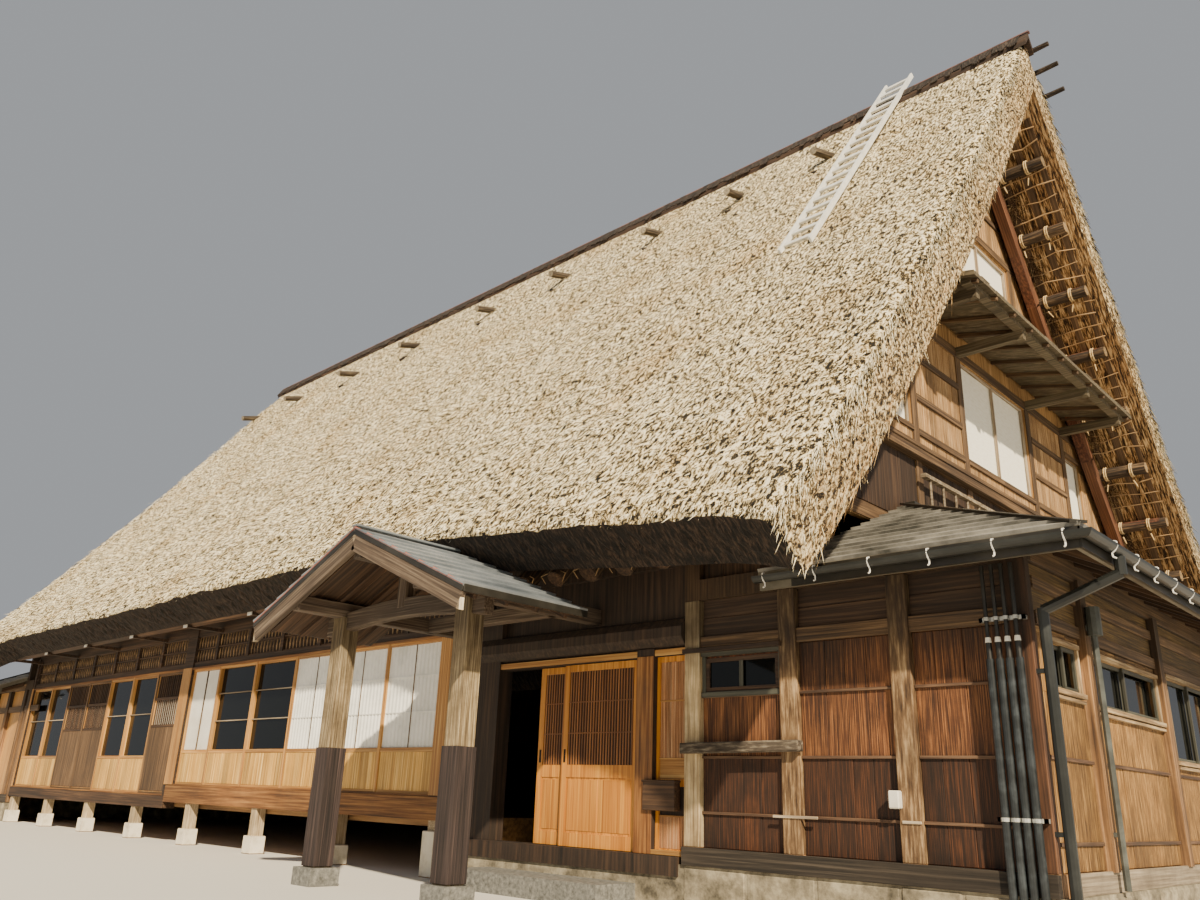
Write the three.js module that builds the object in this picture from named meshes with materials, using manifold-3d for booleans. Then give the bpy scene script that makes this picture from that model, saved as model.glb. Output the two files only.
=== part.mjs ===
// Steep thatched farmhouse, millimetres, +Z up, front towards -Y.
import * as THREE from "three";
import { mergeVertices } from "three/addons/utils/BufferGeometryUtils.js";
import Module from "manifold-3d";

const wasm = await Module();
wasm.setup();

// Driving dimensions
const gap = 0.4; // between touching pieces
const bay = 955; // half a mat-room module
const halfLength = 10950; // centre to the outer face of an end wall
const depth = 9880; // front wall face to rear wall face
const gableX = 9040; // centre to the gable wall face
const footingTop = 345;
const sillTop = 480;
const endWallTop = 2480; // top of the walls under the lean-to roofs
const headZ = 2480; // top of the front windows
const beamZ = 3050; // underside of the main wall plate
const ridgeY = depth / 2;
const ridgeZ = 10950; // outer apex of the straw
const strawThickness = 500;
const entranceWall = 4750; // end of the window wall
const entranceLeft = 5260;
const entranceRight = 8000;
const doorLeft = 5570;
const doorRight = 7450;
const leafWidth = 960;
const leafSlide = 520; // how far the left leaf stands open
const porchX = 5900;
const porchFront = -2130;
const porchHalf = 1620;
const porchRidgeZ = 3030;
const porchPitch = 0.432;
const eaveOut = 525; // lean-to roof beyond the end wall
const leanEaveZ = 2520;
const leanTopZ = 3680;

// Outer face of the front straw slope, from the ridge to below the eave
const slopeLine = [
  [ridgeY, ridgeZ],
  [3450, 8892],
  [1960, 6925],
  [470, 5067],
  [-1020, 3280],
  [-2020, 2081],
];

const leanIn = gableX + 62;
const leanRun = halfLength + eaveOut - leanIn;

// Underside of a lean-to slope at some distance in from its eave
const leanUnder = (inward, run) =>
  leanEaveZ - 70 + (inward * (leanTopZ - leanEaveZ)) / run - 0.5;

const group = new THREE.Group();

// Colours
const paints = {
  straw: [0xb8a27a, 0.95],
  bark: [0x3a302a, 0.9],
  stone: [0x8c8574, 0.9],
  concrete: [0xc9c2b0, 0.85],
  greyWood: [0xa3927c, 0.8],
  darkWood: [0x4a3426, 0.75],
  redBoards: [0x7a4228, 0.7],
  honeyWood: [0xc08a4c, 0.6],
  tanBoards: [0xa8814f, 0.75],
  door: [0xc9853c, 0.5],
  paper: [0xf2efe0, 0.8],
  glass: [0x2b3338, 0.1],
  roofMetal: [0x8e959c, 0.5],
  seamMetal: [0x6e695c, 0.6],
  gutter: [0x4a4c4a, 0.5],
  ladder: [0xc9ccce, 0.35],
  plastic: [0x9a9c9a, 0.5],
};

// Solids
function solid(geometry) {
  const plain = new THREE.BufferGeometry();
  const flat = geometry.index ? geometry.toNonIndexed() : geometry;
  plain.setAttribute("position", flat.getAttribute("position"));
  const merged = mergeVertices(plain, 1e-3);
  return new wasm.Manifold(
    new wasm.Mesh({
      numProp: 3,
      vertProperties: merged.attributes.position.array,
      triVerts: new Uint32Array(merged.index.array),
    }),
  );
}

function box(x0, x1, y0, y1, z0, z1) {
  const g = new THREE.BoxGeometry(x1 - x0, y1 - y0, z1 - z0);
  g.translate((x0 + x1) / 2, (y0 + y1) / 2, (z0 + z1) / 2);
  return solid(g);
}

// Outline in the XZ plane, pushed from y0 to y1
function pushY(points, y0, y1) {
  const shape = new THREE.Shape(points.map(([x, z]) => new THREE.Vector2(x, z)));
  const g = new THREE.ExtrudeGeometry(shape, { depth: y1 - y0, bevelEnabled: false });
  g.rotateX(Math.PI / 2);
  g.translate(0, y1, 0);
  return solid(g);
}

// Outline in the YZ plane, pushed from x0 to x1
function pushX(points, x0, x1) {
  const shape = new THREE.Shape(points.map(([y, z]) => new THREE.Vector2(y, z)));
  const g = new THREE.ExtrudeGeometry(shape, { depth: x1 - x0, bevelEnabled: false });
  g.applyMatrix4(
    new THREE.Matrix4().makeBasis(
      new THREE.Vector3(0, 1, 0),
      new THREE.Vector3(0, 0, 1),
      new THREE.Vector3(1, 0, 0),
    ),
  );
  g.translate(x0, 0, 0);
  return solid(g);
}

// Round bar between two points
function rod(a, b, radius, sides = 8) {
  const from = new THREE.Vector3(...a);
  const way = new THREE.Vector3(...b).sub(from);
  const g = new THREE.CylinderGeometry(radius, radius, way.length(), sides);
  g.translate(0, way.length() / 2, 0);
  g.applyQuaternion(
    new THREE.Quaternion().setFromUnitVectors(
      new THREE.Vector3(0, 1, 0),
      way.clone().normalize(),
    ),
  );
  g.translate(...a);
  return solid(g);
}

// Square bar between two points of one vertical plane, tall across its length
function bar(a, b, width, tall) {
  const from = new THREE.Vector3(...a);
  const way = new THREE.Vector3(...b).sub(from);
  const along = way.clone().normalize();
  const side = new THREE.Vector3(0, 0, 1).cross(along).normalize();
  const up = along.clone().cross(side);
  const g = new THREE.BoxGeometry(way.length(), width, tall);
  g.translate(way.length() / 2, 0, 0);
  g.applyMatrix4(new THREE.Matrix4().makeBasis(along, side, up));
  g.translate(...a);
  return solid(g);
}

const join = (...list) => list.flat().reduce((a, b) => a.add(b));
const cut = (a, ...list) => list.flat().reduce((s, b) => s.subtract(b), a);
const mirrorX = (s) => s.mirror([1, 0, 0]);
const mirrorBack = (s) => s.mirror([0, 1, 0]).translate([0, depth, 0]);
const range = (n) => [...Array(n).keys()];

// Adds one named piece
function piece(name, shape, paint) {
  const m = shape.getMesh();
  const g = new THREE.BufferGeometry();
  g.setAttribute("position", new THREE.BufferAttribute(new Float32Array(m.vertProperties), 3));
  g.setIndex(new THREE.BufferAttribute(new Uint32Array(m.triVerts), 1));
  g.computeVertexNormals();
  const [color, roughness] = paints[paint];
  const metalness = paint === "ladder" ? 0.8 : 0;
  const mesh = new THREE.Mesh(g, new THREE.MeshStandardMaterial({ color, roughness, metalness }));
  mesh.name = name;
  group.add(mesh);
}

// Height and steepness of a line of points at some y, the back mirroring the front
function along(line, y) {
  const front = Math.min(y, depth - y);
  const k = line.findIndex((p, n) => n > 0 && p[0] <= front);
  const n = k < 0 ? line.length - 1 : k;
  const [ya, za] = line[n - 1];
  const [yb, zb] = line[n];
  const rise = (za - zb) / (ya - yb);
  return { z: zb + (front - yb) * rise, rise };
}

// Inner face of the straw, its thickness measured square to the slope
const innerLine = slopeLine.map(([y, z]) => {
  const rise = (along(slopeLine, y - 1).rise + along(slopeLine, Math.min(y + 1, ridgeY)).rise) / 2;
  return [y, z - strawThickness * Math.hypot(1, rise)];
});

// Height of a line that lies under the straw by a distance square to the slope
function underStraw(y, below = 0) {
  const { z, rise } = along(innerLine, y);
  return z - below * Math.hypot(1, rise);
}

// The slope's y where that lower line reaches a height, on the front side
function underStrawY(z, below = 0) {
  let low = -2000;
  let high = ridgeY;
  for (const _ of range(40)) {
    const mid = (low + high) / 2;
    if (underStraw(mid, below) < z) low = mid;
    else high = mid;
  }
  return high;
}

// Front half of the outline between the straw and a level line, mirrored to the back
function gableOutline(bottom, top, below) {
  const front = [];
  const first = Math.max(20, underStrawY(bottom, below));
  front.push([first, bottom]);
  if (first === 20) front.push([first, underStraw(first, below)]);
  for (const [y] of [...slopeLine].reverse()) {
    const z = underStraw(y + 1, below);
    if (y > first + 5 && z > bottom + 5 && z < top - 5) front.push([y, z]);
  }
  if (underStraw(ridgeY, below) > top) front.push([underStrawY(top, below), top]);
  const back = front
    .filter(([y]) => y < ridgeY - 1)
    .map(([y, z]) => [depth - y, z])
    .reverse();
  return [...front, ...back];
}

// Foundations
const rightFooting = join(
  box(entranceRight - 40, halfLength + 40, -40, 200, 0, footingTop),
  box(entranceWall + 15, entranceRight - 30, -40, 200, 0, 250),
  box(halfLength - 200, halfLength + 40, 190, depth - 200 - gap, 0, footingTop),
);
piece("foundation_right", rightFooting, "stone");
const leftFooting = join(
  box(-halfLength - 40, -8700, -40, 200, 0, footingTop),
  box(-halfLength - 40, -halfLength + 200, 190, depth - 200 - gap, 0, footingTop),
);
piece("foundation_left", leftFooting, "stone");
piece(
  "foundation_rear",
  box(-halfLength - 40, halfLength + 40, depth - 200, depth + 40, 0, footingTop),
  "stone",
);
piece("entrance_step", box(5640, 7500, -520, -40 - gap, 0, 170), "stone");

// Floors
piece(
  "raised_floor",
  join(
    box(90 - halfLength, entranceLeft - gap, 150 + gap, depth - 90, sillTop + gap, 600),
    box(entranceLeft - 140, entranceLeft - gap, 210, depth - 220, footingTop - 90, 500),
  ),
  "tanBoards",
);
piece(
  "entrance_floor",
  box(entranceLeft, halfLength - 200 - gap, 200 + gap, depth - 200 - gap, 0, 240),
  "concrete",
);

// Raised sill on short posts and piers, under the window wall
const runStart = -8590;
const runSplit = -1750;
const runEnd = 4650;
const pierX = [-8500, -6680, -4770, -2860, -1010, 900, 2810, 4650];
const pierFeet = pierX.flatMap((x) => {
  const under = x < runSplit ? 459 : 547;
  const pier = x === runEnd ? 440 : 210;
  return [
    box(x - 100, x + 100, -50, 150, 0, pier),
    box(x - 65, x + 65, -10, 120, pier - 10, under + 20),
  ];
});
piece(
  "front_underframe",
  join(
    box(runStart - 90, runSplit - 50, -30, 150, 459, 626),
    box(runSplit - 52, runEnd + 100, -30, 150, 547, 777),
    pierFeet,
  ),
  "darkWood",
);

// Window wall: posts, head beam, lattice rail and wall plate
const leftSill = 626 + gap;
const rightSill = 777 + gap;
const windowFrame = join(
  box(runStart - 90, runStart - 5, -20, 130, leftSill, beamZ + 10),
  box(runSplit - 150, runSplit - 55, -20, 130, leftSill, beamZ + 10),
  box(runSplit - 56, runSplit + 150, -20, 130, rightSill, beamZ + 10),
  box(runEnd - 95, runEnd + 100, -20, 130, rightSill, beamZ + 10),
  box(runStart - 90, runEnd + 100, 0, 120, headZ, headZ + 75),
  box(runStart - 90, runEnd + 100, 0, 120, 2950, beamZ + 10),
  box(runStart - 90, entranceRight + 5 - gap, 0, 150, beamZ, beamZ + 200),
);

// Transom: a thin board behind upright bars
const transom = join(
  box(runStart, runEnd - 60, 60, 80, headZ + 70, 2955),
  range(14).map((i) => {
    const x = runStart + i * bay;
    return box(x - 35, x + 35, 5, 61, headZ + 70, 2955);
  }),
);

// One run of sliding sashes: boards below, open panes above
function sashRun(x0, x1, edges, z0, boardTop) {
  const slab = box(x0, x1, 30, 70, z0, headZ - gap);
  const panes = edges.slice(1).map((x, i) => {
    const inset = 28;
    return box(edges[i] + inset, x - inset, 0, 100, boardTop + 50, headZ - 60);
  });
  return cut(slab, panes);
}
const leftEdges = range(8).map((i) => runStart + i * bay);
const rightEdges = [runSplit + 152, -740, 340, 1410, 2450, 3500, runEnd - 97];
piece(
  "window_sashes_left",
  sashRun(runStart - 3, runSplit - 152, [...leftEdges.slice(0, 7), runSplit - 155], leftSill, 1150),
  "honeyWood",
);
piece(
  "window_sashes_right",
  sashRun(runSplit + 152, runEnd - 97, rightEdges, rightSill, 1230),
  "honeyWood",
);
piece("window_panes_left", box(runStart, runSplit - 155, 70 + gap, 76, 1180, 2450), "glass");
piece("window_panes_right", box(runSplit + 155, runEnd - 100, 70 + gap, 76, 1260, 2450), "glass");

// Eave purlin on arm beams that pass over the wall
const armX = range(7).map((i) => -8500 + i * 2 * bay);
const eavePurlin = join(
  box(-8950, 4200, -500, -400, 2990, 3100),
  armX.map((x) => box(x - 55, x + 55, -560, 60, 2955, 3000)),
);
piece("window_wall_frame", join(windowFrame, transom, eavePurlin), "darkWood");

// Board wall at the left end of the front
function boardFront(posts, highPost, side) {
  const x0 = Math.min(...posts) - 75;
  const x1 = Math.max(...posts) + 75;
  return join(
    box(x0, x1, -60, 160, footingTop + gap, sillTop),
    posts.map((x) => box(x - 75, x + 75, -30, 40, sillTop - 10, endWallTop + 20)),
    box(x0, x1, -10, 39, 2050, 2160),
    box(x0, x1, -30, 130, endWallTop + gap, leanUnder(470, 2600)),
    side,
    highPost.map((x) => box(x - 55, x + 55, -30, 130, endWallTop + 100, 3400)),
  );
}
const frontFrameLeft = boardFront([-10875, -9995, -9040, runStart - 165 - gap], [-9040], []);
piece(
  "front_boards_left",
  box(-10870, -8700, 40 + gap, 75, sillTop + gap, endWallTop),
  "honeyWood",
);

// Board wall right of the entrance, with the small window and the hanging bar
const highBay = join(
  box(8005, 8165, -30, 130, endWallTop + 100, 3300),
  box(8010, 9090, -30, 130, 3200, 3300),
  box(8010, 9000, 45, 80, endWallTop + 140, 3210),
  rod([8020, -65, 1240], [9150, -65, 1255], 38, 8),
);
const frontFrameRight = boardFront([8085, 9040, 9995, 10875], [9040], [highBay]);
piece(
  "front_boards_right",
  cut(
    box(8005, 10870, 40 + gap, 75, sillTop + gap, endWallTop),
    box(8200, 8930, 0, 100, 1700, 1980),
  ),
  "redBoards",
);
piece(
  "front_window_right",
  cut(
    box(8200.5, 8929.5, 20, 80, 1700.5, 1979.5),
    box(8235, 8545, 0, 40, 1735, 1945),
    box(8585, 8895, 0, 40, 1735, 1945),
    box(8235, 8545, 50, 90, 1735, 1945),
    box(8585, 8895, 50, 90, 1735, 1945),
  ),
  "darkWood",
);

// Entrance: posts, lintel, log beam, dark transom and sill
piece(
  "entrance_frame",
  join(
    box(entranceLeft, doorLeft, -20, 160, 250 + gap, beamZ - gap),
    box(entranceWall + gap, entranceLeft + 5, -20, 80, 250 + gap, beamZ - gap),
    box(doorRight, 7650, -20, 160, 250 + gap, 2100),
    box(entranceLeft, entranceRight - 42, -60, 160, 250 + gap, 400),
    box(doorLeft - 10, entranceRight, 0, 140, 2030, 2095),
    rod([entranceLeft + 10, 60, 2235], [entranceRight, 60, 2225], 140, 10),
    box(doorLeft - 10, entranceRight, 60, 95, 2200, 2850),
    box(doorLeft - 10, entranceRight, 0, 140, 2830, beamZ - gap),
    box(doorLeft - 5, doorRight + 5, 98, 107, 395, 405 - gap),
    box(doorLeft - 5, doorRight + 5, 43, 52, 395, 405 - gap),
  ),
  "darkWood",
);
piece(
  "side_lattice",
  cut(
    box(7650 + gap, entranceRight - gap, 30, 70, 400 + gap, 2030 - gap),
    box(7690, 7960, 0, 42, 1000, 1980),
    box(7690, 7960, 0, 42, 450, 940),
  ),
  "honeyWood",
);

// Sliding door leaves, the left one standing open behind the right one
function leaf(x0, y0) {
  const x1 = x0 + leafWidth;
  const body = box(x0, x1, y0, y0 + 35, 405, 2024);
  const faces = [
    [y0 - 10, y0 + 9],
    [y0 + 26, y0 + 45],
  ];
  const recesses = faces.flatMap(([a, b]) => [
    box(x0 + 70, x1 - 70, a, b, 1110, 1960),
    box(x0 + 70, x1 - 70, a, b, 520, 1000),
  ]);
  return cut(body, recesses);
}
piece("door_leaf_left", leaf(doorLeft + 5 + leafSlide, 85), "door");
piece("door_leaf_right", leaf(doorRight - 5 - leafWidth, 30), "door");

// End walls: the same boards and windows at both ends
const endWindows = [
  [350, 840, 1650, 1960],
  [1140, 2770, 1600, 1960],
  [3100, 4620, 1310, 2010],
  [5010, 6530, 1310, 2010],
  [7100, 8740, 1600, 1960],
];
const endPosts = [bay + 40, 3 * bay, 5 * bay, 7 * bay, 9 * bay];
const endFrame = join(
  box(halfLength - 150, halfLength + 10, 150, depth - 160 - gap, footingTop + gap, sillTop),
  endPosts.map((y) =>
    box(halfLength - 40, halfLength + 30, y - 60, y + 60, sillTop - 5, endWallTop + 10),
  ),
  box(
    halfLength - 120,
    halfLength,
    120,
    depth - 130 - gap,
    endWallTop + gap,
    leanUnder(eaveOut, leanRun),
  ),
);
const endBoards = cut(
  box(halfLength - 75, halfLength - 40 - gap, 80, depth - 80, sillTop + gap, endWallTop),
  endWindows.map(([y0, y1, z0, z1]) => box(halfLength - 100, halfLength, y0, y1, z0, z1)),
);
const endPanes = box(halfLength - 85, halfLength - 75 - gap, 300, 8790, 1280, 2040);
piece("wall_frame_right", join(frontFrameRight, endFrame), "greyWood");
piece("end_boards_right", endBoards, "tanBoards");
piece("end_panes_right", endPanes, "glass");
piece("wall_frame_left", join(frontFrameLeft, mirrorX(endFrame)), "greyWood");
piece("end_boards_left", mirrorX(endBoards), "tanBoards");
piece("end_panes_left", mirrorX(endPanes), "glass");

// Rear wall, finished with the same boards and windows
const rearWindows = [-7600, -3800, 0, 3800, 7600].map((x) => [x - 760, x + 760, 1310, 2010]);
const rearHalf = [955, 2865, 4775, 6680, 9020, 10875];
const rearPosts = [...rearHalf.map((x) => -x).reverse(), ...rearHalf];
const rearFrame = join(
  box(-halfLength, halfLength, depth - 160, depth + 60, footingTop + gap, sillTop),
  rearPosts.map((x) => {
    const high = Math.abs(x) < 9100 ? beamZ + 50 : endWallTop + 10;
    return box(x - 75, x + 75, depth - 40, depth + 30, sillTop - 10, high);
  }),
  box(-halfLength, -9100, depth - 130, depth + 30, endWallTop + gap, leanUnder(470, 2600)),
  box(9100, halfLength, depth - 130, depth + 30, endWallTop + gap, leanUnder(470, 2600)),
  box(-9095, -8985, depth - 130, depth + 30, endWallTop + gap, 3400),
  box(8985, 9095, depth - 130, depth + 30, endWallTop + gap, 3400),
  box(-9100, 9100, depth - 130, depth + 30, beamZ, beamZ + 200),
);
piece("rear_frame", rearFrame, "greyWood");
const rearOutline = [
  [-10870, sillTop + gap],
  [10870, sillTop + gap],
  [10870, endWallTop],
  [8950, endWallTop],
  [8950, beamZ - gap],
  [-8950, beamZ - gap],
  [-8950, endWallTop],
  [-10870, endWallTop],
];
piece(
  "rear_boards",
  cut(
    pushY(rearOutline, depth - 75, depth - 40 - gap),
    rearWindows.map(([x0, x1, z0, z1]) => box(x0, x1, depth - 100, depth, z0, z1)),
  ),
  "tanBoards",
);
piece("rear_panes", box(-8400, 8400, depth - 85, depth - 75 - gap, 1280, 2040), "glass");

// Straw slopes: a bent band cut to the outline with drooping eave corners
const strawBand = pushX(
  [...slopeLine, ...[...innerLine].reverse()].map(([y, z]) => [y - gap / 2, z]).reverse(),
  -10600,
  10600,
);
const [eaveY, eaveZ] = slopeLine[4];
const meanPitch = Math.atan2(ridgeZ - eaveZ, ridgeY - eaveY);
const verge = [
  [10020, -300],
  [10040, 3000],
  [10060, 6500],
  [10070, 9200],
  [10040, 10100],
  [9970, 10620],
];
const eaveEdge = [
  [9800, 10540],
  [9550, 10450],
  [9250, 10370],
  [8400, 10243],
  [7250, 10041],
  [6100, 9869],
  [4950, 9713],
  [-7600, 9713],
  [-8700, 9980],
  [-9500, 10384],
];
const strawOutline = [...verge, ...eaveEdge, ...verge.map(([x, down]) => [-x, down]).reverse()];
const cutter = (() => {
  const shape = new THREE.Shape(strawOutline.map(([u, v]) => new THREE.Vector2(u, -v)));
  const g = new THREE.ExtrudeGeometry(shape, { depth: 3000, bevelEnabled: false });
  g.translate(0, 0, -1500);
  g.rotateX(meanPitch);
  g.translate(0, ridgeY, ridgeZ);
  return solid(g);
})();
const frontStraw = strawBand.intersect(cutter);
piece("thatch_front", frontStraw, "straw");
piece("thatch_rear", mirrorBack(frontStraw), "straw");

// Ridge cap over both slopes
const ridgeRise = along(slopeLine, ridgeY - 10).rise;
const capHalf = 140;
const capEdge = 90;
const capCrown = 105;
const capEnd = 10040;
const capLow = ridgeZ - capHalf * ridgeRise;
piece(
  "ridge_cap",
  pushX(
    [
      [ridgeY - capHalf, capLow + 1],
      [ridgeY, ridgeZ + 1],
      [ridgeY + capHalf, capLow + 1],
      [ridgeY + capHalf, capLow + capEdge],
      [ridgeY, ridgeZ + capCrown],
      [ridgeY - capHalf, capLow + capEdge],
    ],
    -capEnd,
    capEnd,
  ),
  "bark",
);

// Gable walls in two storeys, each closed by one sheet of window paper
const storeyZ = 6300;
const wallX = [gableX - 60, gableX - 20];
const pairLeft = 3950;
const pairRight = depth - pairLeft;
const wallTimbers = [2600, 3870, depth - 3870, depth - 2600];

// Level beam of the gable as long as the straw above it allows
function gableBeam(z0, z1, outer = gableX) {
  const end = underStrawY(z1, 80);
  return box(wallX[1] - 1, outer, end, depth - end, z0, z1);
}
const lowerWall = cut(
  join(
    pushX(gableOutline(3400 + gap, storeyZ - gap, 60), ...wallX),
    box(wallX[1] - 1, gableX, 20, depth - 20, 3400 + gap, 3560),
    gableBeam(4300, 4460, gableX + 75 - gap),
    wallTimbers.map((y) => box(wallX[1] - 1, gableX, y - 60, y + 60, 3500, storeyZ - 330)),
    gableBeam(5970, 6090),
  ),
  box(gableX - 100, gableX + 20, pairLeft, pairRight, 4700, 5969),
  box(gableX - 100, gableX + 20, 1960, 2520, 4700, 5700),
  box(gableX - 100, gableX + 20, depth - 2520, depth - 1960, 4700, 5700),
);
const upperWall = cut(
  join(
    pushX(gableOutline(storeyZ, 12000, 60), ...wallX),
    gableBeam(7120, 7240),
    gableBeam(8090, 8200),
    box(wallX[1] - 1, gableX, 3830, 3950, 7150, 8190),
    box(wallX[1] - 1, gableX, depth - 3950, depth - 3830, 7150, 8190),
    box(wallX[1] - 1, gableX, ridgeY - 60, ridgeY + 60, 8150, 9300),
  ),
  box(gableX - 100, gableX + 20, 4000, depth - 4000, 7300, 8050),
);
const lowerPaper = box(wallX[0] - 25, wallX[0] - gap, 1940, depth - 1940, 4660, 5720);
const tallPaper = box(wallX[0] - 25, wallX[0] - gap, pairLeft - 60, pairRight + 60, 4660, 6010);
const upperPaper = box(wallX[0] - 25, wallX[0] - gap, 3960, depth - 3960, 7260, 8090);

// Small board roof on brackets between the storeys
const pentIn = gableX + gap;
const pentOut = gableX + 900;
const pentDrop = -210 / 900;
function slopedBoard(y0, y1, zIn, thick) {
  const low = zIn + (pentOut - pentIn) * pentDrop;
  return pushY(
    [
      [pentIn, zIn],
      [pentIn, zIn - thick],
      [pentOut, low - thick],
      [pentOut, low],
    ],
    y0,
    y1,
  );
}
// Raking rafters in front of the gable, carrying the ends of the roof poles
function rakeHalf(wide, deep, centre) {
  return range(4).map((i) => {
    const [ya, za] = innerLine[i];
    const [yb, zb] = innerLine[i + 1];
    const rise = (za - zb) / (ya - yb);
    const drop = centre * Math.hypot(1, rise);
    const low = Math.max(yb - 30, underStrawY(3800, centre));
    const end = (y) => [gableX + 140, y, zb + (y - yb) * rise - drop];
    return bar(end(low), end(ya + 20), wide, deep);
  });
}
const poleRadius = 72;
const poleTip = 9800;
const poleY = range(8).map((i) => 520 + i * 560);
const frontPoles = poleY.map((y) => {
  const z = underStraw(y, poleRadius - 0.2);
  return rod([gableX + 50, y, z], [poleTip, y, z], poleRadius, 8);
});
const rakeFront = join(rakeHalf(130, 190, 215), frontPoles);
const rakePair = join(rakeFront, mirrorBack(rakeFront));

const pentWhole = join(
  slopedBoard(2330, depth - 2330, storeyZ + 60, 45),
  wallTimbers.map((y) => box(pentIn, pentOut - 90, y - 45, y + 45, storeyZ - 320, storeyZ - 210)),
  wallTimbers.map((y) =>
    box(pentOut - 170, pentOut - 90, y - 40, y + 40, storeyZ - 330, storeyZ - 150),
  ),
  box(pentOut - 180, pentOut - 80, 2400, depth - 2400, storeyZ - 230, storeyZ - 140),
);

const notch = join(rakeHalf(131, 191, 215));
const pentRoof = cut(pentWhole, notch, mirrorBack(notch));

piece("gable_wall_lower_right", lowerWall, "tanBoards");
piece("gable_wall_upper_right", upperWall, "tanBoards");
piece("gable_paper_lower_right", join(lowerPaper, tallPaper), "paper");
piece("gable_paper_upper_right", upperPaper, "paper");
piece("pent_roof_right", pentRoof, "greyWood");
piece("raking_rafters_right", rakePair, "darkWood");
piece("gable_wall_lower_left", mirrorX(lowerWall), "tanBoards");
piece("gable_wall_upper_left", mirrorX(upperWall), "tanBoards");
piece("gable_paper_lower_left", mirrorX(join(lowerPaper, tallPaper)), "paper");
piece("gable_paper_upper_left", mirrorX(upperPaper), "paper");
piece("pent_roof_left", mirrorX(pentRoof), "greyWood");
piece("raking_rafters_left", mirrorX(rakePair), "darkWood");

// Lean-to roof: front, side and rear faces of one bent sheet
const leanOut = halfLength + eaveOut;
const leanFront = -500;
const leanBack = depth + 500;
const leanTopFront = 2100;
const leanTopBack = depth - 2100;
function leanSheet(thick) {
  const top = [
    [leanIn, leanFront, leanEaveZ],
    [leanOut, leanFront, leanEaveZ],
    [leanOut, leanBack, leanEaveZ],
    [leanIn, leanBack, leanEaveZ],
    [leanIn, leanTopBack, leanTopZ],
    [leanIn, leanTopFront, leanTopZ],
  ];
  const points = [...top, ...top.map(([x, y, z]) => [x, y, z - thick])];
  const upper = [
    [0, 1, 5],
    [1, 2, 4],
    [1, 4, 5],
    [2, 3, 4],
  ];
  const rim = [0, 1, 2, 3, 4, 5];
  const sides = rim.flatMap((a) => {
    const b = (a + 1) % 6;
    return [
      [a, a + 6, b + 6],
      [a, b + 6, b],
    ];
  });
  const lower = upper.map(([a, b, c]) => [a + 6, c + 6, b + 6]);
  const faces = [...upper, ...lower, ...sides];
  const g = new THREE.BufferGeometry();
  const flat = faces.flat().flatMap((i) => points[i]);
  g.setAttribute("position", new THREE.Float32BufferAttribute(flat, 3));
  return solid(g);
}
const leanRoof = join(
  leanSheet(70),
  box(leanIn, leanOut - 20, leanFront + 20, leanFront + 50, 2380, 2470),
  box(leanOut - 50, leanOut - 20, leanFront + 20, leanBack - 20, 2380, 2470),
  box(leanIn, leanOut - 20, leanBack - 50, leanBack - 20, 2380, 2470),
);
piece("lean_to_roof_right", leanRoof, "seamMetal");
piece("lean_to_roof_left", mirrorX(leanRoof), "seamMetal");

// Half-round gutters folded round the corner
const gutterRadius = 48;
const gutterSheet = 6;
const gutterZ = 2470;
const gutterY = leanFront - gutterRadius - gap;
const gutterX = leanOut + gutterRadius + gap;
function halfRound(radius) {
  return range(9).map((i) => {
    const t = Math.PI + (i * Math.PI) / 8;
    return new THREE.Vector2(Math.cos(t) * radius, Math.sin(t) * radius);
  });
}
function foldedGutter() {
  const section = [...halfRound(gutterRadius), ...halfRound(gutterRadius - gutterSheet).reverse()];
  const run = new THREE.ExtrudeGeometry(new THREE.Shape(section), { depth: 2, steps: 2, bevelEnabled: false });
  const points = run.attributes.position;
  for (const i of range(points.count)) {
    const out = points.getX(i);
    const station = Math.round(points.getZ(i));
    const x = station === 2 ? leanIn : gutterX + out;
    const y = station === 0 ? leanBack : gutterY - out;
    points.setXYZ(i, x, y, gutterZ + points.getY(i));
  }
  return solid(run);
}
piece("gutter_right", foldedGutter(), "gutter");
piece("gutter_left", mirrorX(foldedGutter()), "gutter");

// Downpipe from the end gutter back to the corner post and down
function downPipe() {
  const r = 36;
  const x = halfLength + 82;
  return join(
    rod([gutterX, 60, gutterZ - gutterRadius - gap], [gutterX, 60, 2300], r, 10),
    rod([gutterX, 60, 2315], [x, -10, 2110], r, 10),
    rod([x, -10, 2125], [x, -10, 130], r, 10),
    rod([x, -10, 145], [x + 160, -60, 70], r, 10),
    box(halfLength + gap, x, -30, 10, 1700, 1730),
    box(halfLength + gap, x, -30, 10, 700, 730),
  );
}
piece("downpipe_right", downPipe(), "gutter");

// Four upright pipes joined by two clamps
const pipeX = range(4).map((i) => 10680 + i * 66);
piece(
  "wall_pipes",
  join(
    pipeX.map((x) => rod([x, -95, 60], [x, -95, 2300], 27, 8)),
    box(10640, 10915, -110, -30 - gap, 600, 640),
    box(10640, 10915, -110, -30 - gap, 1500, 1540),
  ),
  "gutter",
);
piece(
  "wall_conduit",
  join(
    rod([halfLength + 75, 1000, 360], [halfLength + 75, 1000, 2100], 24, 8),
    rod([halfLength + 85, 1000, 2080], [halfLength + 85, 1000, 2290], 52, 10),
    box(halfLength + 30 + gap, halfLength + 80, 980, 1020, 2120, 2160),
    box(halfLength + 30 + gap, halfLength + 80, 985, 1015, 700, 730),
  ),
  "plastic",
);

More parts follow.
